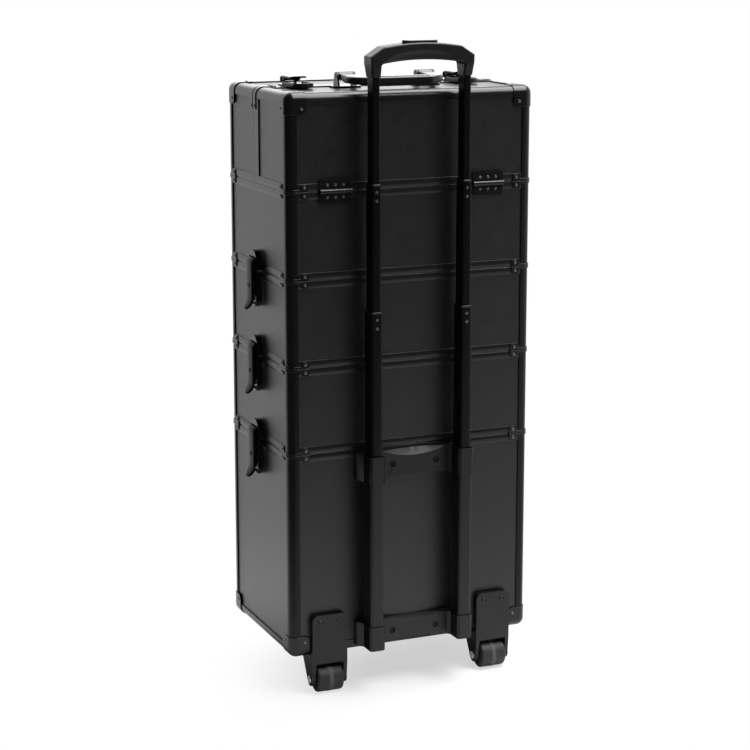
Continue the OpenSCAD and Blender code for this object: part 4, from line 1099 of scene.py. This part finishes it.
@dataclass
class PullHandle:
    """Telescopic tubes, grip and button, with the bridges that carry them."""

    edge: float = 0.4 * MM
    foot_in: float = 2.0 * MM
    foot_depth: float = 20.6 * MM
    waist: float = 17.0 * MM
    shoulder_in: float = 18.0 * MM
    shoulder_low: float = 16.0 * MM
    crown: float = 4.5 * MM
    finger_half: float = 56.5 * MM
    finger_h: float = 17.0 * MM
    finger_r: float = 4.0 * MM
    finger_arch: float = 4.0 * MM
    grip_edge: float = 2.0 * MM
    scoop: float = 2.6 * MM
    scoop_in: float = 4.0 * MM
    scoop_high: float = 0.3
    scoop_power: float = 0.7
    button_edge: float = 1.0 * MM
    button_flat: float = 0.1 * MM
    collar_rise: float = 0.8 * MM
    collar_low: float = 1.6 * MM
    collar_out: float = 0.35 * MM
    collar_steps: int = 16
    tube_over: float = 8.5 * MM
    tube_wall: float = 1.2 * MM
    tube_r: float = 3.0 * MM
    rivet_down: tuple[float, float] = (9.0 * MM, 20.0 * MM)
    stud: Rivets = field(default_factory=lambda: Rivets(rise=0.12 * MM, flange=0.06 * MM))

    def grip_edges(self, half: float, height: float) -> tuple[Array, Array]:
        """Matching points of the grip's outer and inner edge, as (x, z) over its foot.

        Outside, a leg flares to the waist, and a flat shoulder leads to a parabola. Inside, a straight leg
        turns by a quarter circle into a shallow arch.

        Args:
            half: half the grip's width.
            height: its height at the crown.

        Returns:
            Outer and inner points, from the right foot to the left one.
        """
        shoulder = half - self.shoulder_in
        turn_x = self.finger_half - self.finger_r
        turn_z = self.finger_h - self.finger_r
        up = np.linspace(0, 1, 8)[:, None]
        leg_out = np.array([half - self.foot_in, 0.0]) + up * np.array([self.foot_in, self.waist])
        leg_in = np.array([self.finger_half, 0.0]) + up * np.array([0.0, turn_z])
        knee = np.array([
            [half, self.waist], [half, height - self.shoulder_low], [shoulder, height - self.crown],
        ])
        along = np.linspace(0, 2, 17)[1:]
        knee_out = np.stack([np.interp(along, (0, 1, 2), knee[:, k]) for k in (0, 1)], -1)
        knee_in = np.array([turn_x, turn_z]) + self.finger_r * arc(0, 90, 17)[1:]
        across = np.linspace(1, 0, 25)[1:]
        bar_out = np.stack([shoulder * across, height - self.crown * across ** 2], -1)
        bar_in = np.stack([turn_x * across, self.finger_h + self.finger_arch * (1 - across ** 2)], -1)
        outer = np.concatenate([leg_out, knee_out, bar_out])
        inner = np.concatenate([leg_in, knee_in, bar_in])
        whole = [np.concatenate([side, side[-2::-1] * MIRROR]) for side in (outer, inner)]
        return whole[0], whole[1]

    def grip(self) -> Surface:
        """Rounded sections between the grip's two edges, with a lens pressed into the back of the bar.

        Returns:
            The grip.
        """
        low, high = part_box("pull_grip")
        outer, inner = self.grip_edges((high.x - low.x) / 2, high.z - low.z)
        middle, span = (outer + inner) / 2, outer - inner
        reach = np.linalg.norm(span, axis=1)
        deep = np.interp(outer[:, 1], (0.0, self.waist), (self.foot_depth / 2, (high.y - low.y) / 2))
        section = rounded_section(deep, reach / 2, self.grip_edge)
        flat = middle[:, None] + section[..., 1:] * (span / reach[:, None])[:, None]
        across = section[..., 0]
        along = flat[..., 0] / (self.finger_half - self.scoop_in)
        up = section[..., 1] / reach[:, None] + 0.5
        lens = np.clip(1 - along ** 2 - up ** 2 / self.scoop_high, 0, 1)
        across = across - self.scoop * lens ** self.scoop_power * (across > deep[:, None] / 2)
        centre = np.array([(low.x + high.x) / 2, (low.y + high.y) / 2, low.z])
        return loft(centre + np.stack([flat[..., 0], across, flat[..., 1]], -1))

    def collar(self, node: str) -> list[Surface]:
        """A rim round the mouth of each tube of a node: a small ring carried round the tube's outline.

        Args:
            node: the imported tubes.

        Returns:
            A rim for each tube.
        """
        low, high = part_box(node)
        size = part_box("lower_bridge")
        depth = high.y - low.y
        width = depth - self.tube_over
        centre_y = (low.y + high.y) / 2
        outline = round_rect(width, depth, self.tube_r)
        ring = 0.5 + 0.5 * arc(0, 360 - 360 / self.collar_steps, self.collar_steps)
        offset = -self.tube_wall + (self.tube_wall + self.collar_out) * ring[:, 0]
        height = high.z - self.collar_low + (self.collar_low + self.collar_rise) * ring[:, 1]
        flat = outline[:, None] + offset[None, :, None] * outline_normals(outline)[:, None]
        lift = np.broadcast_to(height[None, :, None], (*flat.shape[:2], 1))
        local = np.concatenate([flat, lift], -1)
        middle = (size[0].x + size[1].x) / 2
        reach = (high.x - low.x - width) / 2
        return [loft(local + np.array([middle + s * reach, centre_y, 0.0]), closed=True) for s in (-1.0, 1.0)]

    def tube_rivets(self, node: str) -> list[Surface]:
        """Two studs, nearly flush, down the back of each tube of a node.

        Args:
            node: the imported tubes.

        Returns:
            The studs.
        """
        low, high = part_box(node)
        reach = (high.x - low.x - (high.y - low.y) + self.tube_over) / 2
        middle = (low.x + high.x) / 2
        return [
            self.stud.dome((middle + s * reach, high.y, high.z - down), (0, 1, 0))
            for s in (-1.0, 1.0)
            for down in self.rivet_down
        ]

    def build(self, shop: Workshop) -> None:
        """Finish the tubes and mouldings and make the grip.

        Args:
            shop: the workshop that makes the pieces.
        """
        shop.soften("outer_tubes", Finish.MOULDED, self.edge)
        for node in ("stage_1_tubes", "stage_2_tubes", "stage_3_tubes"):
            shop.soften(node, Finish.TUBE_AND_HOLE_SHADE, self.edge)
        for node in ("stage_1_tubes", "stage_2_tubes"):
            shop.add(f"{node}_collars", self.collar(node), Finish.ANODISED, node)
            shop.add(f"{node}_studs", self.tube_rivets(node), Finish.RIVET, node)
        for node in ("upper_bridge", "lower_bridge"):
            shop.soften(node, Finish.MOULDED, 2 * self.edge)
        shop.add("pull_grip_moulding", [self.grip()], Finish.MOULDED, "pull_grip", True)
        low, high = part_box("release_button")
        size = high - low
        place = place_at(((low.x + high.x) / 2, (low.y + high.y) / 2, 0.0), (1, 0, 0), (0, 1, 0))
        outline = round_rect(size.x, size.y, size.y / 2 - self.button_flat)
        slab = plate(outline, low.z, high.z, self.button_edge, place)
        shop.add("release_button_slab", [slab], Finish.GLOSS, "release_button", True)
        # Painted shade: the screw heads take the darkest finish so that they read as dark recesses in the
        # bridges.
        shop.soften("bridge_screws", Finish.TUBE_AND_HOLE_SHADE, self.edge)


@dataclass
class RunningGear:
    """Wheels, their housings and axles, and the front feet."""

    edge: float = 1.0 * MM
    hub_r: float = 6.0 * MM
    hub_sink: float = 1.3 * MM
    hub_slope: float = 0.5 * MM
    web_r: float = 11.0 * MM
    web_sink: float = 0.2 * MM
    web_slope: float = 0.8 * MM
    shoulder: float = 2.6 * MM
    band_rise: float = 0.3 * MM
    band_half: float = 3.0 * MM
    band_edge: float = 0.4 * MM
    bore: float = 3.1 * MM
    wheel_facets: int = 64
    screw_r: float = 3.6 * MM
    screw_rise: float = 0.9 * MM
    screw_dish: tuple[tuple[float, float], ...] = (
        (1.0, -1.0), (1.0, 0.5), (0.85, 1.0), (0.55, 1.0), (0.4, 0.3), (0.0, 0.2),
    )
    screw_facets: int = 20
    screw_side: float = 13.0 * MM
    screw_down: float = 10.5 * MM

    def wheel(self, node: str) -> tuple[Surface, Surface]:
        """A wheel turned about its axle: a tyre with round shoulders, and the band round its middle.

        Args:
            node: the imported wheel.

        Returns:
            The tyre and the band.
        """
        low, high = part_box(node)
        radius, half = (high.z - low.z) / 2, (high.x - low.x) / 2
        tread = radius - self.band_rise
        side = np.array([
            [self.bore, half - self.hub_sink],
            [self.hub_r, half - self.hub_sink],
            [self.hub_r + self.hub_slope, half - self.web_sink],
            [self.web_r - self.web_slope, half - self.web_sink - self.hub_sink],
            [self.web_r, half],
        ])
        turn = np.array([tread - self.shoulder, half - self.shoulder]) + self.shoulder * arc(90, 0, 9)
        profile = np.concatenate([side, turn])
        whole = np.concatenate([profile, -profile[::-1] * MIRROR])
        place = facing(tuple((low + high) / 2), (1, 0, 0))
        edge, reach = self.band_edge, self.band_half
        band = np.array([
            [tread - edge, -reach], [radius - edge, -reach], [radius, edge - reach],
            [radius, reach - edge], [radius - edge, reach], [tread - edge, reach],
        ])
        return lathe(whole, place, self.wheel_facets), lathe(band, place, self.wheel_facets)

    def screws(self) -> list[Surface]:
        """Low screw heads with a dished middle near the top of both housings.

        Returns:
            The four heads.
        """
        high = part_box("wheel_housings")[1]
        dish = np.array(self.screw_dish) * np.array([self.screw_r, self.screw_rise])
        dish[-1, 0] = POLE
        wheels = [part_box(f"{side}_wheel") for side in SIDES]
        across = [(a.x + b.x) / 2 + s * self.screw_side for a, b in wheels for s in (-1.0, 1.0)]
        spots = [(x, high.y, high.z - self.screw_down) for x in across]
        return [lathe(dish, facing(spot, (0, 1, 0)), self.screw_facets) for spot in spots]

    def build(self, shop: Workshop) -> None:
        """Finish housings and feet and turn the wheels.

        Args:
            shop: the workshop that makes the pieces.
        """
        shop.soften("wheel_housings", Finish.MOULDED, self.edge)
        shop.add("housing_screws", self.screws(), Finish.LACQUER, "wheel_housings")
        shop.soften("wheel_axles", Finish.STEEL, self.edge / 3)
        for side in SIDES:
            node = f"{side}_wheel"
            tyre, band = self.wheel(node)
            shop.add(f"{node}_tyre", [tyre], Finish.RUBBER, node, True)
            shop.add(f"{node}_band", [band], Finish.TREAD, node)
        shop.soften("front_feet", Finish.MOULDED, self.edge)
        shop.soften("foot_pads", Finish.RUBBER, self.edge / 2)


@dataclass
class CarryHandle:
    """Folding handle on the back half of the lid."""

    edge: float = 0.6 * MM
    pin_x: float = 56.0 * MM
    reach: float = 46.0 * MM
    turn: float = 16.0 * MM
    drop: float = 4.5 * MM
    width: float = 20.0 * MM
    arm_t: float = 7.0 * MM
    bar_t: float = 12.0 * MM
    end_rise: float = 5.0 * MM
    taper: float = 26.0 * MM
    round_edge: float = 2.4 * MM
    eye_r: float = 5.6 * MM
    pad_len: float = 84.0 * MM
    pad_w: float = 11.0 * MM
    pad_rise: float = 0.7 * MM
    pad_sink: float = 1.0 * MM
    pad_r: float = 4.0 * MM
    pad_edge: float = 0.5 * MM

    def route(self) -> Array:
        """The handle's middle line as (x, y) from the pins' middle: two arms joined to a bar by arcs.

        Returns:
            Points from the right pin to the left one.
        """
        start = self.pin_x
        arm = np.linspace(0, self.reach - self.turn, 16)
        right = np.stack([np.full_like(arm, start), arm], -1)
        bend = np.array([start - self.turn, self.reach - self.turn]) + self.turn * arc(0, 90, 13)[1:]
        bar = np.linspace(start - self.turn, 0, 16)[1:]
        side = np.concatenate([right, bend, np.stack([bar, np.full_like(bar, self.reach)], -1)])
        return np.concatenate([side, side[-2::-1] * MIRROR])

    def grip(self, pin: Array) -> list[Surface]:
        """A rounded section carried along the route, thicker and lower at the bar, with an eye at each end.

        The top and the underside each follow a smooth step along the arm, and the underside rises again
        towards both ends of the bar.

        Args:
            pin: the point midway between the two pins.

        Returns:
            The handle's surfaces.
        """
        route = self.route()
        step = np.gradient(route, axis=0)
        step /= np.linalg.norm(step, axis=1)[:, None]
        out = np.stack([step[:, 1], -step[:, 0]], -1)
        share = np.clip(route[:, 1] / (self.reach - self.width / 2), 0, 1)
        ease = share * share * (3 - 2 * share)
        swell = self.bar_t / 2 - self.arm_t / 2
        top = self.arm_t / 2 + ease * (swell - self.drop)
        hull = np.clip(1 - (self.pin_x + self.width / 2 - np.abs(route[:, 0])) / self.taper, 0, 1)
        under = -self.arm_t / 2 - ease * (swell + self.drop)
        under = np.maximum(under, self.end_rise * hull - self.bar_t / 2 - self.drop)
        section = rounded_section(np.full_like(top, self.width / 2), (top - under) / 2, self.round_edge)
        flat = route[:, None] + section[..., :1] * out[:, None]
        lift = ((top + under) / 2)[:, None] + section[..., 1]
        sweep = loft(pin + np.concatenate([flat, lift[..., None]], -1))
        half, inner = self.width / 2, self.eye_r - self.edge
        barrel = np.array([
            [inner, -half], [self.eye_r, self.edge - half], [self.eye_r, half - self.edge], [inner, half],
        ])
        ends = [pin + np.array([s * self.pin_x, 0.0, 0.0]) for s in (-1.0, 1.0)]
        eyes = [lathe(barrel, facing(end, (1, 0, 0))) for end in ends]
        place = place_at(tuple(pin + np.array([0.0, self.reach, 0.0])), (1, 0, 0), (0, 1, 0))
        crest = self.bar_t / 2 - self.drop
        outline = round_rect(self.pad_len, self.pad_w, self.pad_r)
        pad = plate(outline, crest - self.pad_sink, crest + self.pad_rise, self.pad_edge, place)
        return [sweep, *eyes, pad]

    def build(self, shop: Workshop) -> None:
        """Finish the brackets and make the grip.

        Args:
            shop: the workshop that makes the pieces.
        """
        shop.soften("carry_brackets", Finish.LACQUER, self.edge)
        pin = np.array(shop.pivot("carry_grip_pivot"))
        shop.add("carry_grip_moulding", self.grip(pin), Finish.GLOSS, "carry_grip", True)


@dataclass
class Trays:
    """Cantilever trays, their arms and pivot plates."""

    edge: float = 0.4 * MM

    def build(self, shop: Workshop) -> None:
        """Finish the trays and their linkage.

        Args:
            shop: the workshop that makes the pieces.
        """
        for half in ("front", "back"):
            shop.soften(f"{half}_tray", Finish.MOULDED, self.edge)
            for arm in ("a", "b"):
                shop.soften(f"{half}_arm_{arm}", Finish.LACQUER, self.edge)
        shop.soften("tray_pivot_plates", Finish.LACQUER, self.edge)


@dataclass(frozen=True)
class Lamp:
    """A rectangular soft lamp that faces a point."""

    name: str
    spot: Colour
    aim: Colour
    size: tuple[float, float]
    power: float

    def build(self) -> None:
        """Hang the lamp."""
        light = bpy.data.lights.new(self.name, "AREA")
        light.shape = "RECTANGLE"
        light.size, light.size_y = self.size
        light.energy = self.power
        lamp = bpy.data.objects.new(self.name, light)
        lamp.location = self.spot
        lamp.rotation_mode = "QUATERNION"
        lamp.rotation_quaternion = (Vector(self.spot) - Vector(self.aim)).to_track_quat("Z", "Y")
        bpy.context.scene.collection.objects.link(lamp)


@dataclass
class Studio:
    """White sweep before the case, a darker room on the camera's side, two lamps and the camera."""

    reach: float = 12.0
    near: float = 0.16
    far: float = 0.44
    veil: float = 0.59
    shadow_at: Colour = (-0.08, 0.12, 0.0)
    shadow_fade: tuple[float, float] = (0.12, 0.36)
    glow: float = 1.35
    glow_fade: tuple[float, float] = (0.9, 0.35)
    floor_tone: float = 0.86
    sky: float = 0.5
    room: float = 0.06
    room_axis: Colour = (0.7, 0.7, 0.0)
    room_sky: tuple[float, float] = (0.15, -0.32)
    room_floor: tuple[float, float] = (0.95, 0.35)
    sheet: float = 1.15
    lamps: tuple[Lamp, ...] = (
        Lamp("overhead", (-0.95, 0.6, 2.6), (-0.95, 0.6, 0.0), (1.6, 2.8), 155.0),
        Lamp("beyond", (-0.6, -2.6, 1.5), (0.0, 0.0, 0.7), (1.6, 1.6), 12.0),
    )
    camera_at: Colour = (1.0653, 2.4754, 0.9858)
    azimuth: float = 156.93
    elevation: float = 11.32
    lens: float = 98.87
    shift: float = -0.05
    sensor: float = 36.0
    clip: float = 100.0

    def rays(self, graph: Graph) -> tuple[Flow, Flow]:
        """Two masks: rays from the camera, and rays that are mirrored or passed on.

        Args:
            graph: the nodes that the masks join.

        Returns:
            The two masks.
        """
        camera = graph.add("ShaderNodeLightPath", output="Is Camera Ray")
        glossy = graph.add("ShaderNodeLightPath", output="Is Glossy Ray")
        passed = graph.add("ShaderNodeLightPath", output="Is Transmission Ray")
        return camera, glossy.larger(passed)

    def depth(self, graph: Graph, spot: Flow) -> Flow:
        """How far a point or a direction lies towards the darker side of the room."""
        inputs = {0: spot, 1: self.room_axis}
        return graph.add("ShaderNodeVectorMath", {"operation": "DOT_PRODUCT"}, inputs, "Value")

    def floor(self) -> None:
        """A floor that takes a pale shadow near the case and is white far from it."""
        corners = self.reach * np.array([[-1, -1, 0], [1, -1, 0], [1, 1, 0], [-1, 1, 0]], float)
        mesh = bpy.data.meshes.new("floor")
        mesh.from_pydata(corners.tolist(), [], [[0, 1, 2, 3]])
        material = bpy.data.materials.new("pale_floor")
        material.use_nodes = True
        graph = Graph(material.node_tree)
        spot = graph.add("ShaderNodeTexCoord", output="Object")
        radius = graph.add("ShaderNodeVectorMath", {"operation": "LENGTH"}, {0: spot}, "Value")
        depth = self.depth(graph, spot)
        camera, glossy = self.rays(graph)
        tone = shade(self.floor_tone)
        paint = graph.add("ShaderNodeBsdfDiffuse", None, {"Color": (*tone, 1.0)})
        near = 1.0 + (self.glow - 1.0) * radius.ramp(*self.glow_fade)
        lit = camera + (1.0 - camera) * (depth.ramp(*self.room_floor) * (1.0 - self.room) + self.room) * near
        bright = (self.glow, self.glow, self.glow)
        light = graph.mix(lit / self.glow, shade(0.0), bright)
        white = graph.add("ShaderNodeEmission", None, {"Color": light})
        ends = {0: spot, 1: self.shadow_at}
        apart = graph.add("ShaderNodeVectorMath", {"operation": "DISTANCE"}, ends, "Value")
        veil = self.veil + (1.0 - self.veil) * apart.ramp(*self.shadow_fade)
        shown = (camera * veil).larger(glossy * radius.ramp(self.near, self.far))
        graph.end(graph.add("ShaderNodeMixShader", None, {0: shown, 1: paint, 2: white}))
        mesh.materials.append(material)
        floor = bpy.data.objects.new("floor", mesh)
        bpy.context.scene.collection.objects.link(floor)
        floor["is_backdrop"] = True

    def world(self) -> None:
        """A surround that is white to the eye, white before the case and dim on the camera's side."""
        world = bpy.data.worlds.new("studio")
        world.use_nodes = True
        graph = Graph(world.node_tree)
        camera, glossy = self.rays(graph)
        towards = graph.add("ShaderNodeTexCoord", output="Generated")
        level = self.room + (1.0 - self.room) * self.depth(graph, towards).ramp(*self.room_sky)
        strength = camera.larger(level * (self.sky + (self.sheet - self.sky) * glossy))
        light = graph.add("ShaderNodeBackground", None, {"Color": (1, 1, 1, 1), "Strength": strength})
        graph.end(light, "ShaderNodeOutputWorld")
        bpy.context.scene.world = world

    def camera(self) -> None:
        """The camera at the photograph's viewing angle."""
        data = bpy.data.cameras.new("camera")
        data.lens = self.lens
        data.sensor_width = self.sensor
        data.shift_y = self.shift
        data.clip_end = self.clip
        camera = bpy.data.objects.new("camera", data)
        a, e = math.radians(self.azimuth), math.radians(self.elevation)
        back = Vector((math.sin(a) * math.cos(e), -math.cos(a) * math.cos(e), math.sin(e)))
        camera.location = self.camera_at
        camera.rotation_mode = "QUATERNION"
        camera.rotation_quaternion = back.to_track_quat("Z", "Y")
        bpy.context.scene.collection.objects.link(camera)
        bpy.context.scene.camera = camera

    def build(self) -> None:
        """Set the floor, the light and the camera."""
        bpy.context.scene.view_settings.view_transform = "Standard"
        self.floor()
        self.world()
        for lamp in self.lamps:
            lamp.build()
        self.camera()


def main() -> None:
    """Build every sub-assembly in order."""
    logging.basicConfig(level=logging.INFO, format="%(message)s")
    shop = Workshop()
    case = Case.read()
    Studio().build()
    Boxes(case).build(shop)
    Rivets().build(shop, case)
    Latches().build(shop)
    Hinges().build(shop)
    PullHandle().build(shop)
    RunningGear().build(shop)
    CarryHandle().build(shop)
    Trays().build(shop)


if __name__ == "__main__":
    main()
